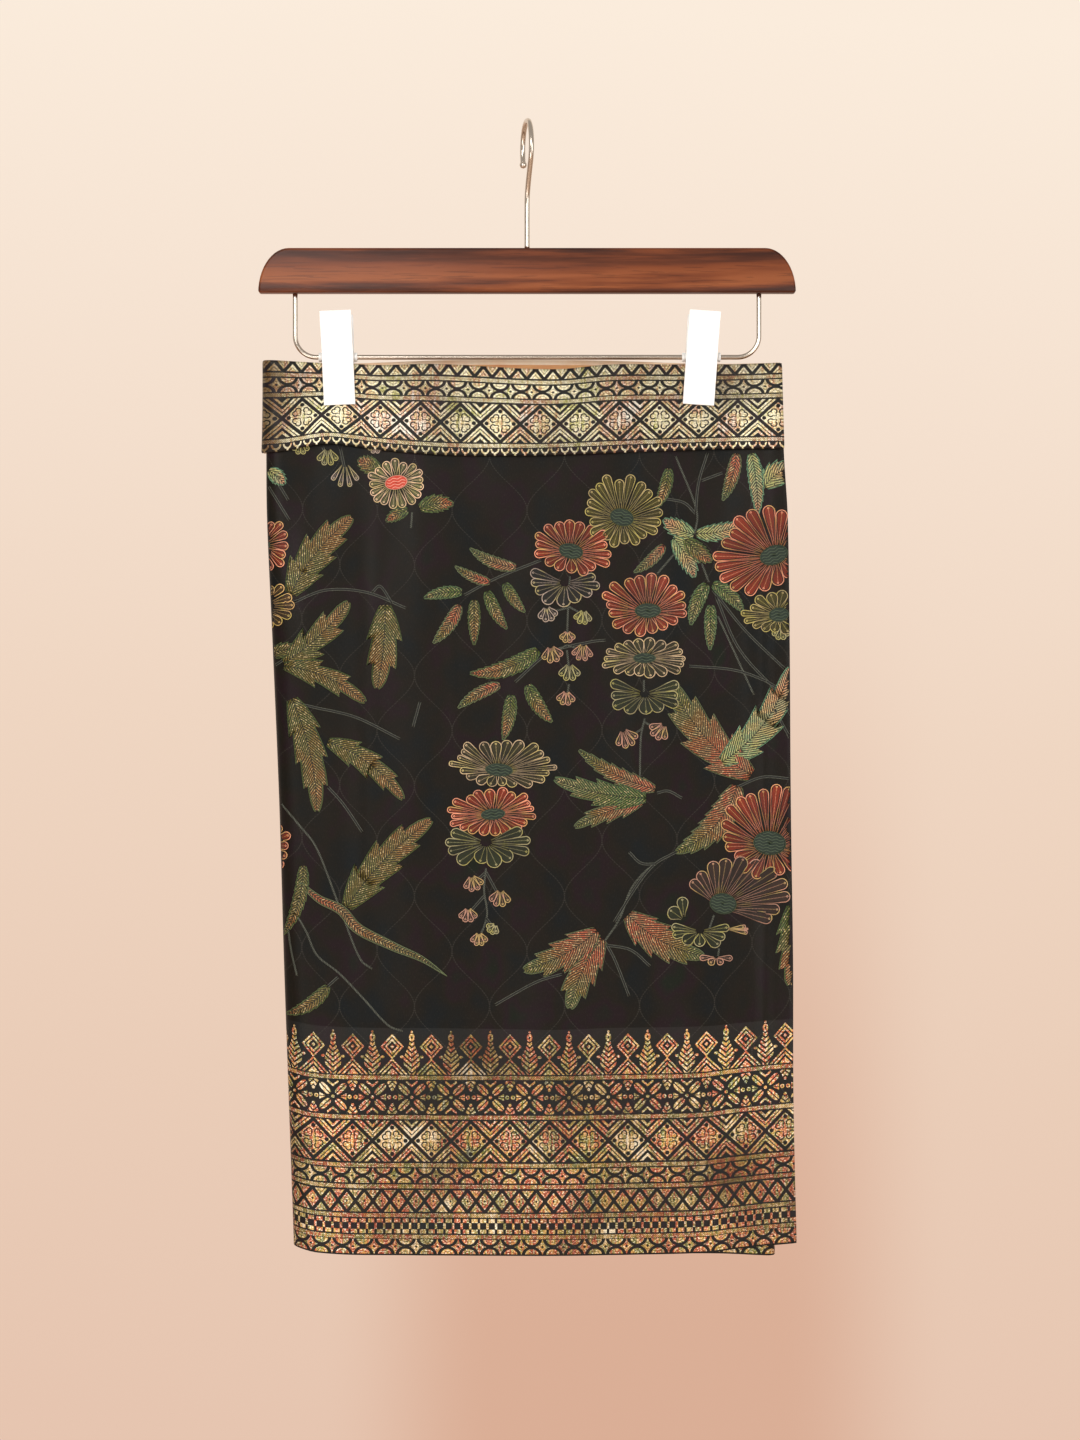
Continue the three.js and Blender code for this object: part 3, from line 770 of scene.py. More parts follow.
ALL_ROUND = (("front", 1, 0, 124), ("left_fold", math.pi / 2, -math.pi / 2, 12), ("back", 0, 1, 104))
CLOTH_ROWS, BAND_ROWS = 168, 22
TURNED_WALL = 0.28  # what the turned edge adds to the wall
# The border as it lies on the band: its first diamond, the diamonds' pitch, and the strip shown
BAND_PATTERN = dict(first=8.8, pitch=27.05, from_row=37.4, strip=62.0)


def edge_line(front, back, column, drop=0):
    """Height of an edge at x, from the front's table to the back's."""
    return lambda x, behind: mix(along(front, "x", column, x), along(back, "x", column, x), behind) - drop


def wrap_cloth(materials):
    places = stretch_steps(*ALL_ROUND, ("right_fold", -math.pi / 2, math.pi / 2, 10), ("underlap", 0, 1, 32))
    top, bottom = edge_line(FRONT_BAND, BACK_BAND, "top", PANEL_TOP_DROP), edge_line(FRONT_HEM, BACK_HEM, "z")
    grid, run = wrap_grid(places, top, bottom, CLOTH_ROWS, HEM)
    in_front = np.array([place[0] == "front" for place in places])[:, None]
    turned = in_front * ease(-EDGE_TURN, -EDGE_TURN + 3, grid[..., 0] - grid[:1, :, 0])
    weave = np.stack([run, grid[..., 2] - grid[:, -1:, 2], turned], -1)
    outer = np.full(run.shape, CLOTH / 2)

    def choose(where, inside):
        side = np.where(where[:, 1] < BORDER_HEIGHT, 1, 0)
        return np.where(inside & (where[:, 2] < 0.5), 2, side)

    return slab("wrap_cloth", grid, outer, -outer - turned * TURNED_WALL, weave, materials, choose)


def waistband(materials):
    places = stretch_steps(*ALL_ROUND, ("right_fold", -math.pi / 2, math.radians(-12), 5))
    top, bottom, flare = (edge_line(FRONT_BAND, BACK_BAND, column) for column in ("top", "bottom", "flare"))
    grid, run = wrap_grid(places, top, bottom, BAND_ROWS, BAND_FOOT)
    behind = np.array([place[2] for place in places])[:, None]
    deep = grid[:, :1, 2] - grid[..., 2]
    down = deep / deep[:, -1:]
    inner = CLOTH / 2 + SEAM_GAP + flare(grid[..., 0], behind) * down ** 3
    first, pitch, from_row, strip = BAND_PATTERN.values()
    pattern = (run - first) * (DIAMOND_REPEAT / pitch) + PATTERN_START
    weave = np.stack([pattern, from_row + down * strip, np.zeros_like(run)], -1)
    return slab("waistband", grid, inner + BAND_WALL, inner, weave, materials,
                lambda _, inside: np.where(inside, 1, 0), 0.95)


# ---------------------------------------------------------------- hanger
ASIDE = (0.3, 0.2, 0.9)  # lies along no wire's start
END_CONE = 0.3  # how far a wire's end stands out, in radii


def tube(name, points, radii, material, sides=16):
    """A round bar along a path of points, closed by a point at each end."""
    points = np.asarray(points, float)
    radii = np.broadcast_to(radii, len(points))
    forward = unit_rows(np.gradient(points, axis=0))
    side = np.cross(forward[0], ASIDE)
    turns = np.linspace(0, 2 * math.pi, sides, endpoint=False)
    rings = []
    for at, radius, ahead in zip(points, radii, forward):
        side = side - ahead * np.dot(side, ahead)
        side = side / np.linalg.norm(side)
        other = np.cross(ahead, side)
        rings.append(at + radius * (np.cos(turns)[:, None] * side + np.sin(turns)[:, None] * other))
    ends = [points[end] + sign * forward[end] * radii[end] * END_CONE for end, sign in ((0, -1), (-1, 1))]
    first, last = 0, (len(points) - 1) * sides
    faces = []
    for row in range(first, last, sides):
        for s in range(sides):
            t = (s + 1) % sides
            faces.append((row + s, row + t, row + sides + t, row + sides + s))
    for s in range(sides):
        t = (s + 1) % sides
        faces.append((last + sides, first + t, first + s))
        faces.append((last + sides + 1, last + s, last + t))
    return make_mesh(name, np.concatenate([*rings, ends]), faces, [material])


def smooth_path(points, steps):
    """A smooth curve through points, at even steps along it."""
    points = np.asarray(points, float)
    reach = np.concatenate([[0], np.cumsum(np.sqrt(np.linalg.norm(np.diff(points, axis=0), axis=1)))])
    rows = dict(at=reach, x=points[:, 0], y=points[:, 1], z=points[:, 2])
    fine = np.linspace(0, reach[-1], steps * 6)
    path = np.stack([along(rows, "at", axis, fine) for axis in "xyz"], -1)
    length = np.concatenate([[0], np.cumsum(np.linalg.norm(np.diff(path, axis=0), axis=1))])
    even = np.linspace(0, length[-1], steps)
    return np.stack([np.interp(even, length, path[:, k]) for k in range(3)], -1)


def arc(centre, radius, start, end, steps):
    turns = np.radians(np.linspace(start, end, steps + 1))
    return np.stack([centre[0] + radius * np.cos(turns), centre[1] + radius * np.sin(turns)], -1)


def bevelled(name, outline, depth, order, material, width, segments, smooth_below):
    """A plate of this outline and depth with rounded corners. The order says which of the outline's
    two directions and the depth, as 0, 1 and 2, are x, y and z."""
    n = len(outline)
    sides = (np.column_stack([outline, np.full(n, level)]) for level in (-depth / 2, depth / 2))
    flat = np.concatenate(list(sides))
    faces = [tuple(range(n - 1, -1, -1)), tuple(range(n, 2 * n))]
    faces += [(k, (k + 1) % n, n + (k + 1) % n, n + k) for k in range(n)]
    rough = make_mesh(name + "_blank", flat[:, order], faces, [material], smooth=False)
    modifier = rough.modifiers.new("rounding", "BEVEL")
    modifier.width, modifier.segments = width * MM, segments
    modifier.limit_method, modifier.angle_limit = "ANGLE", math.radians(28)
    plate = settled(rough, name)
    smooth_by_angle(plate, smooth_below)
    return plate


def settled(rough, name, turn_outward=True):
    """The finished mesh of an object with modifiers, as a plain object; the rough one goes."""
    bpy.context.view_layer.update()
    graph = bpy.context.evaluated_depsgraph_get()
    mesh = bpy.data.meshes.new_from_object(
        rough.evaluated_get(graph), preserve_all_data_layers=True, depsgraph=graph)
    mesh.name = name
    if turn_outward:
        outward(mesh)
    thing = bpy.data.objects.new(name, mesh)
    bpy.context.scene.collection.objects.link(thing)
    bpy.data.objects.remove(rough)
    return thing


def outward(mesh):
    work = bmesh.new()
    work.from_mesh(mesh)
    bmesh.ops.recalc_face_normals(work, faces=work.faces)
    work.to_mesh(mesh)
    work.free()


def smooth_by_angle(thing, degrees):
    mesh = thing.data
    mesh.polygons.foreach_set("use_smooth", [True] * len(mesh.polygons))
    mesh.set_sharp_from_angle(angle=math.radians(degrees))


def hanger_bar(material):
    half, corner = BAR["half"], BAR["end_round"]
    rise = BAR["top"] - BAR["bottom"]
    turns = np.linspace(0, math.pi / 2, 14)
    right = np.stack([half - corner + corner * np.cos(turns), BAR["bottom"] + rise * np.sin(turns)], -1)
    outline = np.concatenate([right, right[::-1] * (-1, 1)])
    return bevelled("hanger_bar_wood", outline, BAR["thickness"], (0, 2, 1), material, BAR["round"], 4, 30)


HOOK_STEPS = 96


def hook_path():
    wire, loop = HOOK["wire"], HOOK["loop"]
    middle = wire / 2 - loop
    ring = arc((0, middle), loop, HOOK["tip"], 222, 18)
    neck = middle - loop
    stem = [(-5.2, neck - 6), (-0.8, neck - 15), (0, neck - 24), (0, BAR["top"] + 14.3),
            (0, BAR["top"] + SEAM_GAP)]
    flat = np.concatenate([ring, stem])
    turn = math.radians(HOOK["turn"])
    return np.stack([-flat[:, 0] * math.sin(turn), flat[:, 0] * math.cos(turn), flat[:, 1]], -1)


def hook_wire(material):
    return tube("hook_wire", smooth_path(hook_path(), HOOK_STEPS), HOOK["wire"] / 2, material)


def hook_tip(material):
    """A small bead on the end of the wire."""
    path = smooth_path(hook_path(), HOOK_STEPS)
    back = unit_rows(path[:1] - path[1:2])[0]
    turns = np.linspace(math.radians(8), math.radians(172), 10)
    reach = 0.8 - HOOK["bead"] * np.cos(turns)
    return tube("hook_tip", path[0] + reach[:, None] * back, HOOK["bead"] * np.sin(turns), material)


def rod_wire(material):
    leg, level, bend = ROD["leg"], ROD["level"], ROD["bend"]
    down = BAR["bottom"] - SEAM_GAP - 3.5 * np.arange(8)
    left = np.column_stack([np.full(8, -leg), down])
    turn = arc((bend - leg, level + bend), bend, 180, 270, 14)
    straight = np.column_stack([np.linspace(-136, 136, 60), np.full(60, level)])
    mirror = (-1, 1)
    flat = np.concatenate([left, turn, straight, turn[::-1] * mirror, left[::-1] * mirror])
    return tube("rod_wire", np.insert(flat, 1, 0, axis=1), ROD["wire"] / 2, material)


def jaw_profile():
    """One jaw from the side: distance from the centre plane, and height from the rod."""
    boss = SLEEVE["radius"] + SEAM_GAP
    mouth, plate, waist, handle = (JAW[k] for k in ("mouth", "plate", "waist", "handle"))
    outside = [(mouth, -JAW["below"]), (mouth + 0.25, -20), (waist - 0.35, -6), (waist, 2), (waist + 1.3, 10),
               (handle - 1.7, 22), (handle, JAW["above"])]
    inside = [(handle, JAW["above"]), (handle - 1.8, 22), (waist + 1.2, 8), (waist + 0.2, 4.6), (boss, 2.6),
              (boss, -2.2), (mouth + 0.8, -5), (mouth, -9)]
    return [(mouth, -JAW["below"])] + [(out + plate, up) for out, up in outside] + inside


def clip_jaw(side, facing, x, lean, material):
    sign = -1 if facing == "front" else 1
    profile = [(sign * out, up) for out, up in jaw_profile()]
    name = f"{side}_{facing}_jaw_plate"
    jaw = bevelled(name, profile, JAW["width"], (2, 0, 1), material, JAW["round"], 3, 32)
    seat = Matrix.Translation(Vector((x, 0, ROD["level"])) * MM)
    jaw.data.transform(seat @ Matrix.Rotation(math.radians(-lean), 4, "Y"))
    return jaw


def clip_sleeve(side, x, material):
    """A sleeve on the rod with a collar at each end, open through its middle."""
    half, outer, bore = SLEEVE["length"] / 2, SLEEVE["radius"], ROD["wire"] / 2 + SEAM_GAP
    collar = [(half, bore), (half, outer - 0.4), (half - 0.4, outer), (half - 1.6, outer),
              (half - 1.9, outer - 0.3)]
    section = [(-along_rod, r) for along_rod, r in collar] + collar[::-1]
    sides = 28
    turns = np.linspace(0, 2 * math.pi, sides, endpoint=False)
    verts = [(x + px, r * math.cos(t), ROD["level"] + r * math.sin(t)) for px, r in section for t in turns]
    rows = [k * sides for k in range(len(section))]
    faces = [(a + s, a + (s + 1) % sides, b + (s + 1) % sides, b + s)
             for a, b in zip(rows, rows[1:] + rows[:1]) for s in range(sides)]
    sleeve = make_mesh(f"{side}_sleeve_tube", verts, faces, [material])
    outward(sleeve.data)
    smooth_by_angle(sleeve, 35)
    return sleeve


# ---------------------------------------------------------------- plain finishes
def wood_finish():
    f = Finish("red_wood")
    where = f.place()
    long_grain = f.noise(f.scaled(where, (9, 60, 140)), 1.0, 4.0)
    pores = f.noise(f.scaled(where, (30, 300, 900)), 1.0, 2.0)
    x, y, z = f.parts(where)
    streak = ((z * 260 + long_grain * 7 + x * 1.2).sine() * 0.5 + 0.5)
    tone = streak * 0.45 + long_grain * 0.55
    colour = f.ramp(tone, (0.20, 56, 24, 11), (0.42, 104, 51, 24), (0.60, 122, 62, 29), (0.80, 144, 80, 42))
    colour = f.mix((pores < 0.42) * 0.35, colour, srgb(58, 26, 14))
    return f.done(Base_Color=colour, Roughness=0.34 + pores * 0.10, Coat_Weight=0.06, Coat_Roughness=0.22,
                  Specular_IOR_Level=0.2, Normal=f.bump(pores + streak * 0.3, 0.00012, 0.5))


def steel_finish():
    f = Finish("bright_steel")
    fine = f.noise(f.scaled(f.place(), (400, 400, 900)), 1.0, 2.0)
    return f.done(Base_Color=srgb(208, 196, 182), Metallic=1.0, Roughness=0.16 + fine * 0.08)


def clip_finish():
    f = Finish("white_clip")
    soft = f.noise(f.place(), 160, 2.0)
    colour = f.mix(soft * 0.4, srgb(252, 252, 250), srgb(246, 245, 241))
    return f.done(Base_Color=colour, Roughness=0.26 + soft * 0.06, Coat_Weight=0.3,
                  Normal=f.bump(soft, 0.00004, 0.4))


def wall_finish():
    """A warm wall that glows by its own emission, with painted light: paler high up and darker low down, and
    a painted soft shadow of the garment low down right of the middle; the floor in front is plain.
    """
    f = Finish("peach_wall")
    x, y, z = f.parts(f.place())
    across, up = (x - 0.009) / 1.61, (z + 0.41) / 2.15
    # painted light: the glow fades from pale at the top to darker at the bottom
    colour = f.ramp(up + across * 0.05 + 0.5, (0.0, 230, 197, 176), (0.25, 234, 205, 184),
                    (0.5, 239, 214, 194), (0.78, 246, 227, 210), (1.0, 251, 236, 220))
    # painted shadow of the garment, soft-edged, low down and right of the middle
    painted_garment_shadow = (0.30 - abs(across - 0.09)).ease(0, 0.17) * (1 - up.ease(-0.46, 0.20))
    colour = f.mix(painted_garment_shadow * 0.85, colour, srgb(216, 170, 145))
    wall = y.ease(WALL_Y - 0.7, WALL_Y - 0.2)
    floor = f.mix(wall, srgb(226, 202, 184), (0.0, 0.0, 0.0))
    return f.done(Base_Color=floor, Roughness=0.9, Specular_IOR_Level=0.0,
                  Emission_Color=f.mix(wall, (0.0, 0.0, 0.0), colour), Emission_Strength=1.0)


# ---------------------------------------------------------------- woven flowers and leaves
# Leaves: base x z, tip x z, half width, lobes, notch, bend, tone
LEAVES = [
    (-160.5, -321.6, -119.7, -269.3, 9.9, 4, 0.42, 0.06, "gold"),
    (-165.2, -368.6, -121.7, -327.1, 8.5, 3, 0.5, -0.05, "gold"),
    (-165.2, -370.6, -110.2, -395.1, 7.1, 3, 0.5, 0.08, "gold"),
    (-96.6, -329.1, -102.0, -385.6, 9.0, 3, 0.4, 0.03, "gold"),
    (-159.8, -393.0, -142.8, -469.2, 8.5, 4, 0.36, 0.05, "gold"),
    (-135.3, -422.3, -84.3, -461.0, 7.1, 4, 0.4, 0.08, "gold"),
    (-122.4, -534.5, -65.3, -475.3, 9.9, 4, 0.42, 0.05, "gold"),
    (-152.3, -506.6, -165.9, -553.5, 4.8, 9, 0.2, 0.08, "gold"),
    (-135.3, -588.2, -163.9, -607.2, 4.8, 7, 0.2, 0.1, "gold"),
    (-7.5, -303.3, -38.8, -290.4, 4.4, 8, 0.2, 0.08, "rose"),
    (-25.2, -313.5, -49.0, -302.6, 3.7, 7, 0.2, 0.06, "rose"),
    (-44.2, -320.3, -70.0, -324.4, 4.4, 7, 0.2, -0.06, "green"),
    (-46.2, -329.1, -63.9, -355.0, 4.8, 8, 0.2, 0.06, "rose"),
    (-36.0, -325.7, -36.0, -356.3, 4.4, 8, 0.2, 0, "gold"),
    (-27.2, -319.6, -13.6, -345.4, 4.4, 8, 0.2, -0.05, "olive"),
    (-15.0, -314.2, -1.4, -333.9, 4.1, 7, 0.2, -0.05, "olive"),
    (7.5, -359.7, -38.8, -375.4, 6.1, 9, 0.2, 0.1, "olive"),
    (-18.4, -383.5, -46.9, -399.2, 4.4, 8, 0.2, -0.06, "rose"),
    (-10.9, -390.3, -16.3, -420.9, 4.8, 8, 0.2, 0.04, "olive"),
    (0.7, -383.5, 17.0, -408.7, 5.1, 8, 0.2, -0.06, "olive"),
    (96.6, -236.0, 87.7, -263.2, 4.4, 8, 0.2, 0.06, "olive"),
    (142.8, -225.8, 133.3, -257.7, 4.8, 9, 0.2, 0.05, "rose"),
    (153.0, -225.8, 157.1, -267.2, 5.4, 9, 0.2, 0.03, "silver"),
    (113.6, -280.8, 93.2, -270.6, 5.1, 5, 0.3, 0.06, "silver"),
    (115.6, -280.2, 146.9, -272.7, 4.8, 6, 0.3, -0.08, "silver"),
    (100.0, -283.6, 113.6, -310.1, 5.4, 6, 0.3, 0.06, "silver"),
    (108.1, -284.2, 125.8, -299.2, 4.8, 6, 0.3, -0.05, "olive"),
    (93.2, -288.3, 72.8, -306.7, 4.1, 7, 0.2, 0.06, "rose"),
    (122.4, -314.8, 111.5, -342.7, 5.1, 8, 0.2, -0.06, "green"),
    (126.5, -314.8, 146.9, -333.9, 5.1, 8, 0.2, 0.08, "green"),
    (125.1, -329.1, 124.4, -359.7, 4.4, 8, 0.2, 0, "green"),
    (152.3, -444.7, 97.9, -382.2, 11.6, 4, 0.42, 0.08, "rose"),
    (132.6, -435.9, 178.8, -372.0, 9.2, 4, 0.4, -0.1, "silver"),
    (87.0, -454.2, 35.4, -427.7, 6.1, 7, 0.26, 0.06, "rose"),
    (80.9, -460.4, 19.0, -447.4, 7.1, 4, 0.4, 0.05, "green"),
    (78.2, -463.1, 32.6, -480.1, 5.8, 4, 0.4, -0.04, "rose"),
    (142.8, -452.2, 101.3, -497.1, 9.9, 7, 0.24, 0.12, "rose"),
    (68.7, -539.9, 119.7, -567.8, 9.5, 5, 0.36, -0.08, "rose"),
    (47.6, -550.8, -2.0, -577.3, 8.8, 4, 0.42, 0.06, "rose"),
    (51.0, -556.2, 29.2, -603.2, 9.2, 4, 0.4, -0.06, "rose"),
    (180.9, -533.1, 178.8, -587.5, 10.2, 4, 0.4, 0.05, "olive"),
    (-72.8, -263.2, -50.3, -260.4, 4.8, 5, 0.26, 0.08, "olive"),
    (-80.9, -264.5, -95.9, -272.0, 3.4, 5, 0.26, -0.05, "olive"),
    (-100.0, -236.0, -114.9, -229.2, 4.8, 5, 0.3, 0.05, "olive"),
    (161.8, -248.2, 180.2, -234.6, 6.8, 5, 0.3, 0.08, "silver"),
    (-176.1, -237.3, -165.2, -246.8, 4.1, 5, 0.25, 0.05, "silver"),
    (-173.4, -550.1, -166.6, -604.5, 4.8, 8, 0.2, -0.04, "olive"),
    (-176.1, -363.1, -154.4, -358.4, 4.1, 5, 0.3, 0.05, "gold"),
]
# Flowers: centre x z, reach x z, disk centre x z, disk reach x z, tilt, petals, from, to, style
FLOWERS = [
    (-89.1, -246.8, 21.1, 17.7, -89.1, -245.5, 7.8, 4.8, 10, 22, 0, 360, "green_gold"),
    (65.3, -265.2, 28.9, 24.8, 64.6, -269.3, 8.2, 5.9, -15, 26, 0, 360, "olive"),
    (31.3, -289.3, 27.9, 20.4, 29.9, -292.4, 8.4, 5.2, -12, 22, 0, 360, "red"),
    (80.6, -328.4, 29.6, 21.6, 82.3, -332.9, 9.0, 5.0, 0, 24, 0, 360, "red"),
    (80.6, -365.2, 30.6, 14.4, 80.0, -365.2, 7.8, 3.4, 0, 24, 0, 360, "pale"),
    (162.5, -291.7, 36.7, 28.6, 168.0, -295.1, 9.9, 6.5, 20, 26, 0, 360, "red"),
    (174.1, -333.9, 28.6, 15.0, 171.4, -335.6, 6.8, 4.8, 8, 22, 0, 360, "olive"),
    (-16.3, -436.8, 35.6, 17.3, -19.0, -441.3, 9.5, 4.4, -4, 28, 0, 360, "pale"),
    (-23.8, -470.4, 32.4, 16.9, -23.1, -471.4, 8.4, 3.9, 5, 26, 0, 360, "red"),
    (164.6, -483.5, 33.3, 32.6, 165.0, -491.0, 11.2, 8.2, -5, 28, 0, 360, "red"),
    (143.5, -525.0, 34.7, 27.2, 133.3, -532.2, 9.2, 7.1, -8, 15, -38, 172, "rose"),
    (-176.8, -288.3, 16.3, 18.4, -180.2, -288.3, 5.4, 5.4, 0, 18, 0, 360, "red"),
    (-173.4, -329.8, 16.3, 15.6, -180.2, -329.8, 5.4, 4.8, 0, 16, 0, 360, "gold"),
    (-176.1, -493.0, 16.3, 17.7, -180.2, -493.0, 5.4, 5.4, 0, 18, 0, 360, "red"),
]
# Fans of petals: centre x z, reach x z, petals, from, to, style
FANS = [
    (25.8, -314.2, 25.8, 15.6, 12, 150, 382, "silver"),
    (80.2, -389.6, 25.8, 15.6, 12, 152, 388, "green"),
    (-27.9, -491.0, 30.6, 16.3, 13, 150, 392, "green"),
    (117.6, -550.8, 21.8, 11.6, 9, 165, 372, "green"),
    (106.8, -543.3, 11.6, 16.3, 3, 98, 150, "green"),
    (134.6, -549.4, 17.0, 5.4, 4, -25, 25, "rose"),
    (128.5, -568.5, 10.9, 6.1, 5, 190, 350, "rose"),
]
# Buds: x, z, width, height, turn, style
BUDS = [
    (14.0, -334.6, 16.3, 12.2, -10, "silver"),
    (38.1, -336.6, 12.2, 11.6, 8, "green"),
    (27.5, -350.2, 13.6, 9.5, 0, "rose"),
    (17.0, -361.8, 15.0, 13.6, -12, "rose"),
    (37.8, -360.4, 12.2, 13.6, 6, "rose"),
    (28.9, -374.0, 15.0, 13.6, 0, "green"),
    (26.5, -391.7, 13.6, 11.6, 5, "rose"),
    (67.3, -418.9, 15.0, 15.0, -22, "rose"),
    (90.4, -414.1, 15.0, 13.6, 38, "rose"),
    (-36.7, -517.5, 13.6, 12.9, -14, "rose"),
    (-18.4, -527.7, 15.0, 13.6, 4, "rose"),
    (-40.1, -539.2, 13.6, 11.6, 0, "rose"),
    (-23.1, -548.8, 12.2, 8.8, 35, "green"),
    (-32.6, -555.6, 12.2, 10.9, 0, "rose"),
    (172.7, -347.5, 13.6, 10.9, 0, "green"),
    (-136.0, -227.1, 13.6, 13.6, 0, "green"),
    (-124.1, -239.4, 11.6, 18.4, 0, "silver"),
    (-154.4, -221.0, 12.2, 10.9, 0, "green"),
    (-103.4, -221.0, 10.9, 9.5, 0, "silver"),
]
STEMS = [
    ("line", (-42.8, -322.3), (-21.1, -310.8), (9.5, -298.5)),
    ("line", (-8.2, -381.5), (15.0, -361.8), (42.2, -354.3), (53.7, -352.9)),
    ("line", (110.2, -370.6), (140.8, -373.3), (162.5, -380.8), (176.1, -389.6)),
    ("rope", (29.2, -309.4), (27.9, -332.5), (27.2, -352.9)),
    ("rope", (27.2, -331.2), (15.6, -333.9)),
    ("rope", (27.9, -329.8), (37.4, -335.2)),
    ("rope", (27.2, -356.3), (17.7, -361.1)),
    ("rope", (27.2, -356.3), (36.7, -359.7)),
    ("rope", (27.2, -359.7), (28.6, -373.3)),
    ("rope", (28.6, -382.8), (27.2, -391.0)),
    ("rope", (79.6, -380.1), (79.6, -388.3)),
    ("rope", (80.2, -406.0), (77.5, -419.6), (76.8, -446.8)),
    ("rope", (78.9, -412.8), (70.0, -418.9)),
    ("rope", (80.2, -408.7), (89.1, -414.1)),
    ("rope", (101.3, -227.1), (115.6, -264.5), (114.2, -280.8)),
    ("line", (123.1, -225.1), (117.0, -245.5), (114.9, -265.9)),
    ("line", (93.2, -256.4), (106.8, -259.1), (114.9, -266.6)),
    ("line", (133.3, -238.7), (119.0, -244.1)),
    ("rope", (109.5, -283.6), (88.4, -308.0)),
    ("rope", (119.0, -300.6), (123.8, -313.5)),
    ("line", (126.5, -318.9), (147.6, -345.4), (175.4, -372.6)),
    ("line", (128.5, -323.0), (144.8, -359.7), (176.1, -393.7)),
    ("rope", (129.9, -336.6), (143.5, -366.5), (154.4, -390.3)),
    ("line", (88.4, -457.0), (95.9, -455.6), (105.4, -460.4)),
    ("line", (142.8, -452.9), (160.5, -446.1), (180.2, -447.4)),
    ("rope", (101.3, -497.1), (83.0, -508.0), (70.7, -522.2), (63.2, -542.0), (52.4, -558.3)),
    ("line", (101.3, -497.1), (87.0, -505.2), (75.5, -518.8), (59.2, -544.7)),
    ("line", (69.4, -497.1), (77.5, -504.6), (87.7, -505.2)),
    ("line", (52.4, -556.9), (59.8, -570.5), (69.4, -595.0)),
    ("line", (23.8, -580.0), (6.1, -585.5), (-21.8, -601.1)),
    ("line", (54.4, -560.3), (70.7, -563.7), (83.6, -574.6)),
    ("rope", (-27.9, -508.0), (-29.2, -522.9), (-27.2, -539.9), (-32.0, -554.9)),
    ("line", (-28.6, -511.4), (-35.4, -517.5)),
    ("line", (-27.9, -510.7), (-19.0, -527.0)),
    ("line", (-28.6, -526.3), (-39.4, -538.6)),
    ("line", (-27.9, -542.0), (-23.1, -548.1)),
    ("rope", (127.2, -539.9), (123.1, -551.5)),
    ("rope", (130.6, -562.4), (129.9, -567.8)),
    ("line", (-158.4, -327.1), (-136.7, -318.9), (-109.5, -320.3), (-82.3, -331.2)),
    ("line", (-105.4, -320.3), (-100.0, -316.2), (-91.8, -327.8)),
    ("line", (-154.4, -396.4), (-145.5, -398.5), (-117.0, -405.3), (-86.4, -420.2)),
    ("line", (-72.8, -395.1), (-77.5, -412.1)),
    ("line", (-135.3, -452.9), (-125.1, -464.4), (-112.2, -483.5)),
    ("rope", (-167.3, -464.4), (-154.4, -479.4), (-142.8, -495.0), (-126.5, -537.2), (-113.6, -569.8),
     (-105.4, -576.6)),
    ("blade", (-155.7, -516.8), (-141.4, -529.0), (-126.5, -536.5), (-114.9, -549.4), (-91.8, -561.0),
     (-71.4, -569.8), (-54.4, -581.4)),
    ("rope", (-159.8, -534.5), (-150.3, -550.8), (-142.8, -567.1), (-127.8, -579.4), (-112.2, -595.7),
     (-94.5, -614.7), (-84.3, -618.8)),
    ("rope", (-163.2, -544.7), (-160.5, -563.7), (-156.4, -581.4)),
    ("line", (-135.3, -588.2), (-128.5, -582.1)),
    ("line", (-171.4, -369.9), (-165.9, -366.5)),
    ("rope", (-78.2, -265.9), (-78.9, -276.8)),
    ("line", (-139.4, -221.0), (-136.7, -227.1)),
    ("line", (-127.2, -222.4), (-123.8, -238.7)),
    ("line", (165.2, -393.7), (178.8, -419.6)),
    ("line", (168.6, -386.9), (179.5, -403.9)),
    ("line", (-174.8, -237.3), (-162.5, -257.7)),
    ("line", (-176.1, -248.2), (-161.8, -271.3)),
]
# Threads near a leaf's base, at its tip, and round its outline
LEAF_TONES = {
    "gold": ((104, 92, 38), (140, 96, 52), (84, 100, 56)),
    "olive": ((80, 92, 30), (164, 94, 56), (88, 108, 64)),
    "green": ((84, 104, 44), (124, 112, 66), (92, 116, 76)),
    "rose": ((168, 88, 60), (96, 100, 40), (100, 112, 76)),
    "silver": ((160, 162, 100), (196, 136, 100), (108, 152, 118)),
}
GREEN_MIDDLE = ((30, 42, 32), (84, 98, 74))
# Threads at a petal's foot, at its tip, its outline, and the flower's middle and its lines
PETAL_TONES = {
    "red": ((100, 32, 14), (156, 54, 26), (220, 134, 98), *GREEN_MIDDLE),
    "olive": ((62, 62, 20), (92, 82, 28), (166, 148, 86), *GREEN_MIDDLE),
    "green_gold": ((92, 104, 54), (120, 116, 70), (222, 186, 150), (196, 66, 46), (238, 188, 168)),
    "pale": ((44, 44, 26), (72, 66, 38), (186, 160, 122), *GREEN_MIDDLE),
    "rose": ((46, 34, 28), (66, 46, 36), (170, 118, 96), *GREEN_MIDDLE),
    "gold": ((50, 38, 22), (84, 60, 28), (188, 146, 76), (44, 40, 24), (140, 110, 60)),
    "silver": ((28, 28, 24), (36, 34, 30), (158, 140, 126), *GREEN_MIDDLE),
    "green": ((32, 38, 20), (50, 56, 28), (142, 138, 92), *GREEN_MIDDLE),
}
STEM_TONE = srgb(98, 102, 88)
LEAF_SPREAD, BROAD_LOBES = 1.3, 7  # leaves of fewer lobes than this are broader
LOBE_STEPS = np.array([0, 0.3, 0.6, 0.85, 0.99])
BLADE_HALF = 3.6
STEM_HALF = dict(line=0.85, rope=0.65)
BACK_SHIFT = -16  # the same drawing comes round on the back, this much further along
FLAT_PLANE = 60  # the drawing waits this far in front of the cloth, or behind it
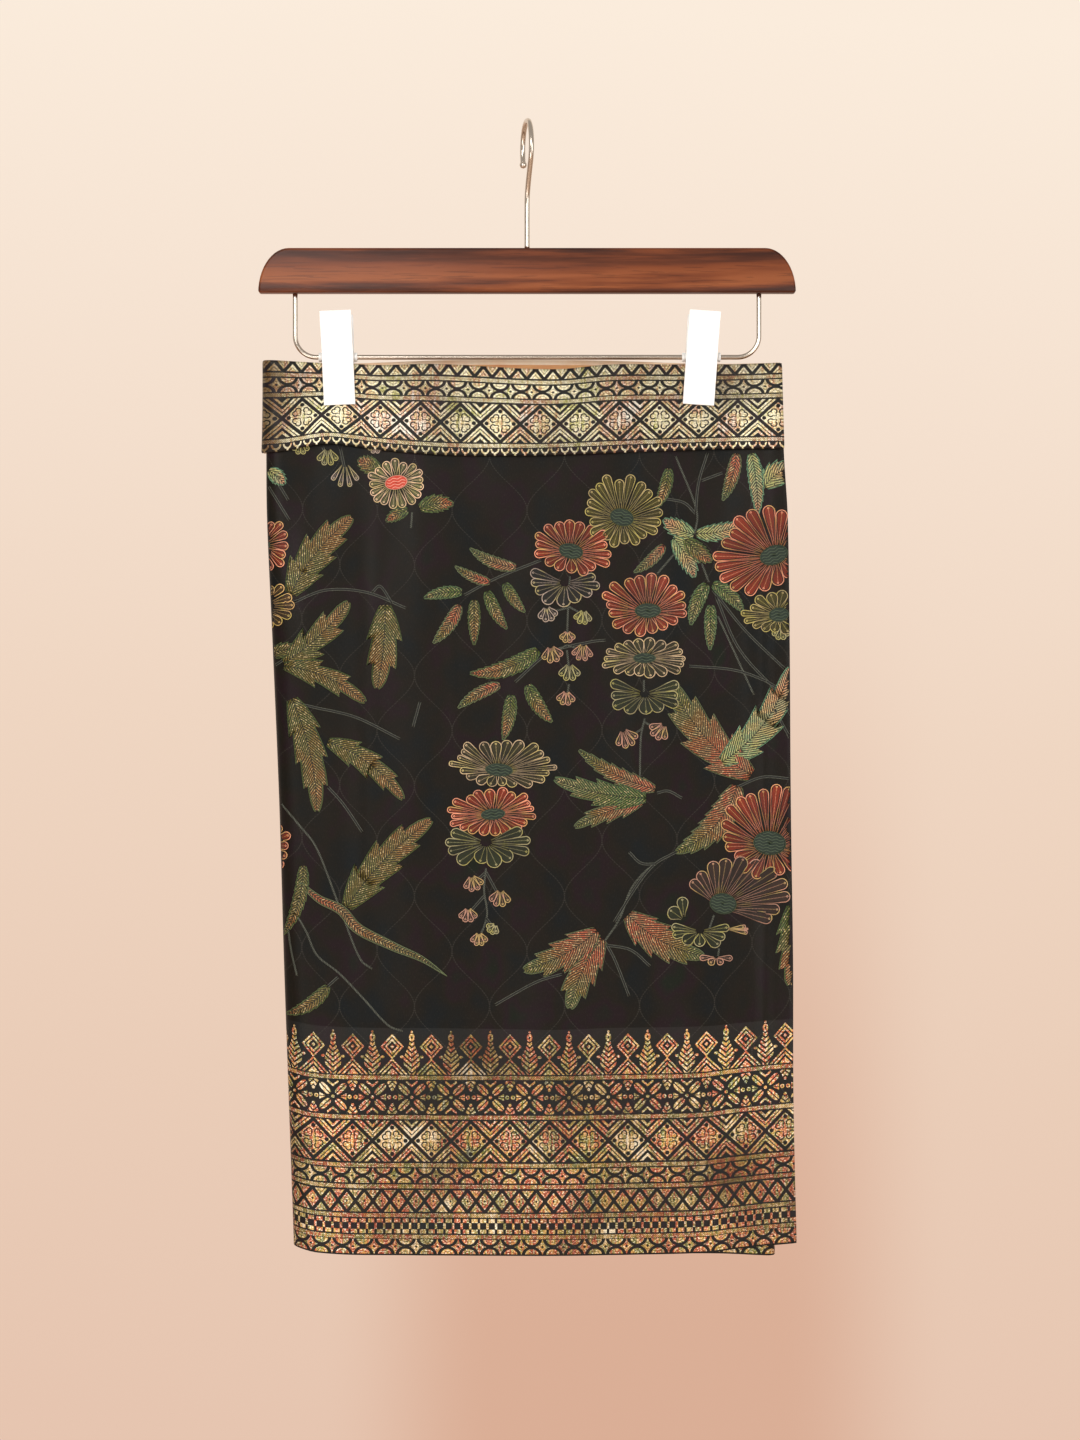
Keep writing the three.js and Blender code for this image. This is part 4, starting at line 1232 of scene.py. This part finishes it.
ACROSS = np.array([1, 0.8, 0.4, 0, -0.4, -0.8, -1])
LAYERS = 4
PETAL_SHARE, PETAL_HALF = 0.76, 0.385  # of the counts below, and of the room between two petals
PETAL_SWAY, PETAL_REACH, PETAL_GAIN = (-0.12, 0.12), (0.86, 1.05), (0.7, 1.2)
DISK_FOOT, FAN_FOOT = 0.86, 0.14  # where petals start, in a flower's middle and in a fan


def tones(table_of_tones, name):
    return [np.array(srgb(*tone)) for tone in table_of_tones[name]]


class Threadwork:
    """Flat figures of one kind, gathered before they are laid on the cloth."""

    def __init__(self):
        self.places, self.threads, self.fills, self.lines, self.layers, self.faces = ([] for _ in range(6))
        self.count = 0

    def add(self, places, thread, fill, line, closed=False):
        """A grid of points as (x, z), with its thread lengths (edge, along, across) and colours.
        Neighbours lie in different layers, so they cross without touching."""
        rows, columns = places.shape[:2]
        number = np.arange(rows * columns).reshape(rows, columns) + self.count
        if closed:
            number = np.column_stack([number, number[:, 0]])
        self.faces.append(np.stack(
            [number[:-1, :-1], number[:-1, 1:], number[1:, 1:], number[1:, :-1]], -1).reshape(-1, 4))
        self.places.append(places.reshape(-1, 2))
        self.threads.append(thread.reshape(-1, 3))
        self.fills.append(np.broadcast_to(fill, (rows, columns, 3)).reshape(-1, 3))
        self.lines.append(np.broadcast_to(line, (rows * columns, 3)))
        self.layers.append(np.full(rows * columns, len(self.layers) % LAYERS, float))
        self.count += rows * columns

    def flat_mesh(self, name, behind):
        """The figures in a plane before the cloth, or mirrored in a plane behind it."""
        places = np.concatenate(self.places)
        x = -places[:, 0] + BACK_SHIFT if behind else places[:, 0]
        points = np.stack([x, np.full(len(x), FLAT_PLANE if behind else -FLAT_PLANE), places[:, 1]], -1)
        fill, line = (np.hstack([np.concatenate(c), np.ones((len(x), 1))]) for c in (self.fills, self.lines))
        return make_mesh(name, points, np.concatenate(self.faces).tolist(), [], fill=fill, line=line,
                         thread=np.concatenate(self.threads), layer=np.concatenate(self.layers))


def flat_path(points, steps):
    return smooth_path([(x, 0, z) for x, z in points], steps)[:, [0, 2]]


def ribbon(path, widths, lean=0):
    """Points across a path, and how far along and across it each one lies."""
    ahead = unit_rows(np.gradient(path, axis=0))
    aside = np.stack([-ahead[:, 1], ahead[:, 0]], -1)
    length = np.concatenate([[0], np.cumsum(np.linalg.norm(np.diff(path, axis=0), axis=1))])
    reach = ACROSS[None, :] * widths[:, None]
    forward = np.abs(ACROSS)[None, :] * np.broadcast_to(lean, len(path))[:, None]
    places = path[:, None] + aside[:, None] * reach[..., None] + ahead[:, None] * forward[..., None]
    edge = (1 - np.abs(ACROSS))[None, :] * widths[:, None]
    along_path = np.broadcast_to(length[:, None], reach.shape)
    return places, np.stack([edge, along_path, reach], -1)


def leaf(work, base_x, base_z, tip_x, tip_z, half, lobes, notch, bend, tone):
    """A leaf with pointed lobes along a bent midrib."""
    start, end = np.array([base_x, base_z]), np.array([tip_x, tip_z])
    share = (np.arange(lobes)[:, None] + LOBE_STEPS).ravel() / lobes
    share = np.append(share, 1.0)
    line = end - start
    normal = np.array([-line[1], line[0]])
    path = start + share[:, None] * line + (bend * 4 * share * (1 - share))[:, None] * normal
    profile = (share + 0.04) ** 0.42 * (1.02 - share) ** 0.72 * 2.1
    saw = (share * lobes) % 1
    saw[-1] = 0
    spread, swept = (LEAF_SPREAD, 0.6) if lobes < BROAD_LOBES else (1.0, 0.27)
    widths = spread * half * np.minimum(profile, 1.1) * (1 - notch * (1 - saw))
    widths[-1] = 0.06
    places, thread = ribbon(path, widths, half * swept * saw * np.minimum(profile, 1))
    low, high, outline = tones(LEAF_TONES, tone)
    work.add(places, thread, mix(low, high, ease(0.15, 0.95, share)[:, None, None]), outline)


def blade(work, points, tone):
    """A long leaf without lobes, along a curve."""
    path = flat_path(points, 44)
    share = np.linspace(0, 1, len(path))
    places, thread = ribbon(path, BLADE_HALF * np.maximum(np.sin(math.pi * share ** 0.8), 0.03) ** 0.7)
    low, high, outline = tones(LEAF_TONES, tone)
    work.add(places, thread, mix(low, high, share[:, None, None]), outline)


def petal(work, foot, tip, half, style, gain=1.0):
    """A petal with a narrow foot and a round tip."""
    length = np.linalg.norm(tip - foot)
    half = min(half, length * 0.45)
    crown = 1 - half / length
    share = np.concatenate([np.linspace(0, crown, 5), crown + (1 - crown) * np.array([0.35, 0.65, 0.88, 1])])
    over = np.clip((share - crown) / (1 - crown), 0, 1)
    widths = half * (0.26 + 0.74 * ease(0, crown * 1.05, share)) * np.sqrt(1.004 - over ** 2)
    places, thread = ribbon(foot + share[:, None] * (tip - foot), widths)
    beyond = (over * half)[:, None]
    round_edge = half - np.hypot(thread[..., 2], beyond)
    thread[..., 0] = np.where(beyond > 0, round_edge, thread[..., 0])
    thread[..., 1] = (1 - share)[:, None] * length
    low, high, outline = (tone * gain for tone in tones(PETAL_TONES, style)[:3])
    work.add(places, thread, mix(low, high, share[:, None, None]), outline)


def turned_by(degrees):
    turn = math.radians(degrees)
    return np.array([[math.cos(turn), -math.sin(turn)], [math.sin(turn), math.cos(turn)]])


def fan(work, centre, reach, foot_centre, foot_reach, tilt, petals, start, end, style, chance):
    """Petals from a small oval out to a large one."""
    spin = turned_by(tilt)
    petals = round(petals * PETAL_SHARE)
    step = math.radians(end - start) / (petals if end - start >= 360 else petals - 1)
    for k in range(petals):
        turn = math.radians(start) + k * step + chance.uniform(*PETAL_SWAY) * step
        ray, aside = np.array([[math.cos(turn), math.sin(turn)], [-math.sin(turn), math.cos(turn)]])
        tip = centre + spin @ (ray * reach) * chance.uniform(*PETAL_REACH)
        foot = foot_centre + spin @ (ray * foot_reach)
        gap = np.linalg.norm(spin @ (aside * reach)) * step
        petal(work, foot, tip, gap * PETAL_HALF, style, chance.uniform(*PETAL_GAIN))


def flower_middle(work, centre, reach, tilt, style):
    turns = np.linspace(0, 2 * math.pi, 26, endpoint=False)
    out = np.array([1.0, 0.8, 0.55, 0.3, 0.04])
    local = out[:, None, None] * np.stack([np.cos(turns), np.sin(turns)], -1)[None] * reach
    edge = (1 - out)[:, None] * min(reach) * np.ones(len(turns))
    work.add(centre + local @ turned_by(tilt).T, np.stack([edge, local[..., 0], local[..., 1]], -1),
             *tones(PETAL_TONES, style)[3:], closed=True)


def bud(work, x, z, width, height, turn, style):
    """A small bell of petals that hangs from its stalk."""
    turn = math.radians(turn)
    top = np.array([x + math.sin(turn) * height / 2, z + math.cos(turn) * height / 2])
    for lean in (-33, 33, -11, 11):
        aim = turn + math.radians(lean)
        length = height * (1.0 if abs(lean) < 20 else 0.88)
        tip = top - np.array([math.sin(aim), math.cos(aim)]) * length
        petal(work, top + (tip - top) * 0.25, tip, width * 0.15, style)


def stem(work, kind, points):
    """A stem; its fill's red says whether it is a twisted rope."""
    path = flat_path(points, max(8, 6 * len(points)))
    places, thread = ribbon(path, np.full(len(path), STEM_HALF[kind]))
    work.add(places, thread, (1.0 if kind == "rope" else 0.0, 0, 0), STEM_TONE)


def draw_figures():
    """All the figures, in the order they lie on each other: stems below, flower middles on top."""
    chance = random.Random(7)
    stems, leaves, petals, middles = (Threadwork() for _ in range(4))
    for kind, *points in STEMS:
        if kind == "blade":
            blade(leaves, points, "rose")
        else:
            stem(stems, kind, points)
    for row in LEAVES:
        leaf(leaves, *row)
    for *places, tilt, count, start, end, style in FLOWERS:
        centre, reach, disk, disk_reach = np.reshape(places, (4, 2))
        fan(petals, centre, reach, disk, disk_reach * DISK_FOOT, tilt, count, start, end, style, chance)
        flower_middle(middles, disk, disk_reach, tilt, style)
    for *places, count, start, end, style in FANS:
        centre, reach = np.reshape(places, (2, 2))
        fan(petals, centre, reach, centre, reach * FAN_FOOT, 0, count, start, end, style, chance)
    for row in BUDS:
        bud(petals, *row)
    return dict(stem=stems, leaf=leaves, petal=petals, flower_middle=middles)


RAY_REACH = 0.2  # metres
LEAST_FACING = 0.4  # of the cloth towards the drawing, for a figure to be laid there


def laying_tree():
    """Geometry nodes: drop flat figures on the cloth along a direction and give them thickness."""
    tree = bpy.data.node_groups.new("lay_figures_on_cloth", "GeometryNodeTree")
    face = tree.interface
    face.new_socket("Figures", in_out="INPUT", socket_type="NodeSocketGeometry")
    kinds = dict(Cloth="Object", Direction="Vector", Lift="Float", Layer="Float", Thickness="Float",
                 Threads="Material")
    sockets = {name: face.new_socket(name, in_out="INPUT", socket_type="NodeSocket" + kind).identifier
               for name, kind in kinds.items()}
    face.new_socket("Laid figures", in_out="OUTPUT", socket_type="NodeSocketGeometry")

    def node(kind, *values, settings=(), **named):
        """A node with its settings, its first inputs in order, and others by name."""
        new = tree.nodes.new(kind)
        for key, value in dict(settings).items():
            setattr(new, key, value)
        by_name = [(new.inputs[key.replace("_", " ")], value) for key, value in named.items()]
        for socket, value in [*zip(new.inputs, values), *by_name]:
            if isinstance(value, bpy.types.NodeSocket):
                tree.links.new(value, socket)
            else:
                socket.default_value = value
        return new

    def stored(name, kind):
        return node("GeometryNodeInputNamedAttribute", settings=dict(data_type=kind), Name=name).outputs[0]

    def vectors(operation, *values, **named):
        return node("ShaderNodeVectorMath", *values, settings=dict(operation=operation), **named).outputs

    given = node("NodeGroupInput").outputs
    target = node("GeometryNodeObjectInfo", given["Cloth"], settings=dict(transform_space="RELATIVE"))
    ray = node("GeometryNodeRaycast", Target_Geometry=target.outputs["Geometry"],
               Ray_Direction=given["Direction"], Ray_Length=RAY_REACH).outputs
    layer = stored("layer", "FLOAT")
    height = node("ShaderNodeMath", layer, given["Layer"], given["Lift"],
                  settings=dict(operation="MULTIPLY_ADD"))
    lifted = vectors("SCALE", Vector=ray["Hit Normal"], Scale=height.outputs[0])[0]
    spot = vectors("ADD", ray["Hit Position"], lifted)[0]
    # a miss gives no normal, and where the cloth turns away the figures would smear: both are left out
    facing = vectors("DOT_PRODUCT", ray["Hit Normal"], given["Direction"])["Value"]
    turned = node("FunctionNodeCompare", A=facing, B=-LEAST_FACING,
                  settings=dict(data_type="FLOAT", operation="GREATER_THAN")).outputs[0]
    marked = node("GeometryNodeStoreNamedAttribute", settings=dict(data_type="BOOLEAN", domain="POINT"),
                  Geometry=given["Figures"], Name="missed", Value=turned).outputs[0]
    moved = node("GeometryNodeSetPosition", Geometry=marked, Position=spot).outputs[0]
    missed = stored("missed", "BOOLEAN")
    laid = node("GeometryNodeDeleteGeometry", settings=dict(domain="POINT", mode="ALL"),
                Geometry=moved, Selection=missed).outputs[0]
    raised = node("GeometryNodeExtrudeMesh", settings=dict(mode="FACES"), Mesh=laid,
                  Offset_Scale=given["Thickness"], Individual=False).outputs[0]
    both = node("GeometryNodeJoinGeometry")
    for part in (raised, node("GeometryNodeFlipFaces", laid).outputs[0]):
        tree.links.new(part, both.inputs[0])
    closed = node("GeometryNodeMergeByDistance", Geometry=both.outputs[0], Distance=1e-6)
    whole = node("GeometryNodeRealizeInstances", closed.outputs[0])
    done = node("GeometryNodeSetMaterial", Geometry=whole.outputs[0], Material=given["Threads"])
    node("NodeGroupOutput", done.outputs[0])
    return tree, sockets


def lay_on_cloth(flat, name, tree, sockets, **values):
    """The flat figures dropped on the cloth, as a plain mesh."""
    modifier = flat.modifiers.new("laying", "NODES")
    modifier.node_group = tree
    for key, value in values.items():
        modifier[sockets[key]] = value
    return settled(flat, name, turn_outward=False)


# How far each kind lies above the cloth, how far apart its layers are, and its own thickness
LAYING = dict(stem=(0.08, 0.008, 0.04), leaf=(0.14, 0.045, 0.05), petal=(0.30, 0.03, 0.05),
              flower_middle=(0.44, 0.0, 0.06))


# ---------------------------------------------------------------- assembly
def dress(piece, slot, *nodes):
    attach(piece, "root")
    if nodes:
        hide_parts(*nodes)
    return piece


wood, steel, clip_white = wood_finish(), steel_finish(), clip_finish()
ground = cloth_finish("brocade_ground", border=False)
border = cloth_finish("brocade_border")
band_border = cloth_finish("waistband_border", band=True)
reverse = reverse_finish("brocade_reverse", srgb(222, 166, 108), srgb(206, 142, 92))
band_reverse = reverse_finish("waistband_reverse", srgb(255, 232, 204), srgb(252, 214, 176))

cloth = wrap_cloth([ground, border, reverse])
dress(cloth, "cloth", "front_panel", "back_panel", "underlap")
band = waistband([band_border, band_reverse])
dress(band, "band", "waistband_front", "waistband_back")

laying, laying_sockets = laying_tree()
threads = dict(stem=stem_finish(), leaf=leaf_finish(), petal=petal_finish(), flower_middle=disk_finish())
for kind, work in draw_figures().items():
    for place, behind in (("front", False), ("back", True)):
        lift, layer, thickness = (value * MM for value in LAYING[kind])
        laid = lay_on_cloth(
            work.flat_mesh(f"flat_{kind}", behind), f"{kind}_threads_{place}", laying, laying_sockets,
            Cloth=cloth, Direction=(0.0, -1.0 if behind else 1.0, 0.0),
            Lift=lift, Layer=layer, Thickness=thickness, Threads=threads[kind])
        dress(laid, "cloth")

dress(hanger_bar(wood), "wood", "hanger_bar")
dress(hook_wire(steel), "steel", "hook")
dress(hook_tip(steel), "steel")
dress(rod_wire(steel), "steel", "clip_rod")
for side, x, lean in CLIPS:
    for facing in ("front", "back"):
        dress(clip_jaw(side, facing, x, lean, clip_white), "clip", f"{side}_clip_{facing}_jaw")
    dress(clip_sleeve(side, x, clip_white), "clip", f"{side}_clip_sleeve")

# ---------------------------------------------------------------- stage, light and camera
WALL_TOP, WALL_HALF, FLOOR_Z, FLOOR_FRONT, COVE = 4.0, 6.0, -1.9, -5.0, 0.3


def stage_sweep(material):
    """A wall behind that curves into the floor far below."""
    profile = [(WALL_Y, WALL_TOP), (WALL_Y, FLOOR_Z + COVE)]
    for turn in np.linspace(0, math.pi / 2, 9)[1:]:
        profile.append((WALL_Y - COVE * (1 - math.cos(turn)), FLOOR_Z + COVE * (1 - math.sin(turn))))
    profile.append((FLOOR_FRONT, FLOOR_Z))
    verts = np.array([(x, y, z) for y, z in profile for x in (-WALL_HALF, WALL_HALF)]) / MM
    faces = [(2 * k, 2 * k + 2, 2 * k + 3, 2 * k + 1) for k in range(len(profile) - 1)]
    return make_mesh("backdrop", verts, faces, [material])


stage_sweep(wall_finish())


def area_light(name, at, towards, size, power, colour):
    lamp = bpy.data.lights.new(name, "AREA")
    lamp.shape, lamp.size, lamp.energy, lamp.color = "DISK", size, power, colour
    thing = bpy.data.objects.new(name, lamp)
    thing.location = at
    thing.rotation_euler = (Vector(towards) - Vector(at)).to_track_quat("-Z", "Y").to_euler()
    bpy.context.scene.collection.objects.link(thing)


MIDDLE = (0, 0, -0.4)
area_light("window", (-0.8, -2.4, 0.6), MIDDLE, 1.3, 28, (1.0, 0.99, 0.97))
area_light("front_fill", (1.6, -2.4, -0.4), MIDDLE, 2.0, 30, (1.0, 0.99, 0.98))
area_light("low_fill", (-0.9, -2.0, -1.8), (0, 0.45, -0.9), 1.8, 24, (1.0, 0.99, 0.98))

world = bpy.data.worlds.new("room")
world.use_nodes = True
world.node_tree.nodes["Background"].inputs["Color"].default_value = (0.50, 0.47, 0.44, 1)
bpy.context.scene.world = world
bpy.context.scene.view_settings.view_transform = "Standard"

CAMERA_AWAY, SEEN_HEIGHT = 2.5, 0.979  # metres
camera = bpy.data.objects.new("camera", bpy.data.cameras.new("camera"))
camera.data.sensor_width = 36
camera.data.sensor_fit = "AUTO"
camera.data.lens = 36 * CAMERA_AWAY / SEEN_HEIGHT
camera.location = (0.00884, -2.511, -0.4073)
camera.rotation_euler = (math.pi / 2, 0, 0)
bpy.context.scene.collection.objects.link(camera)
bpy.context.scene.camera = camera
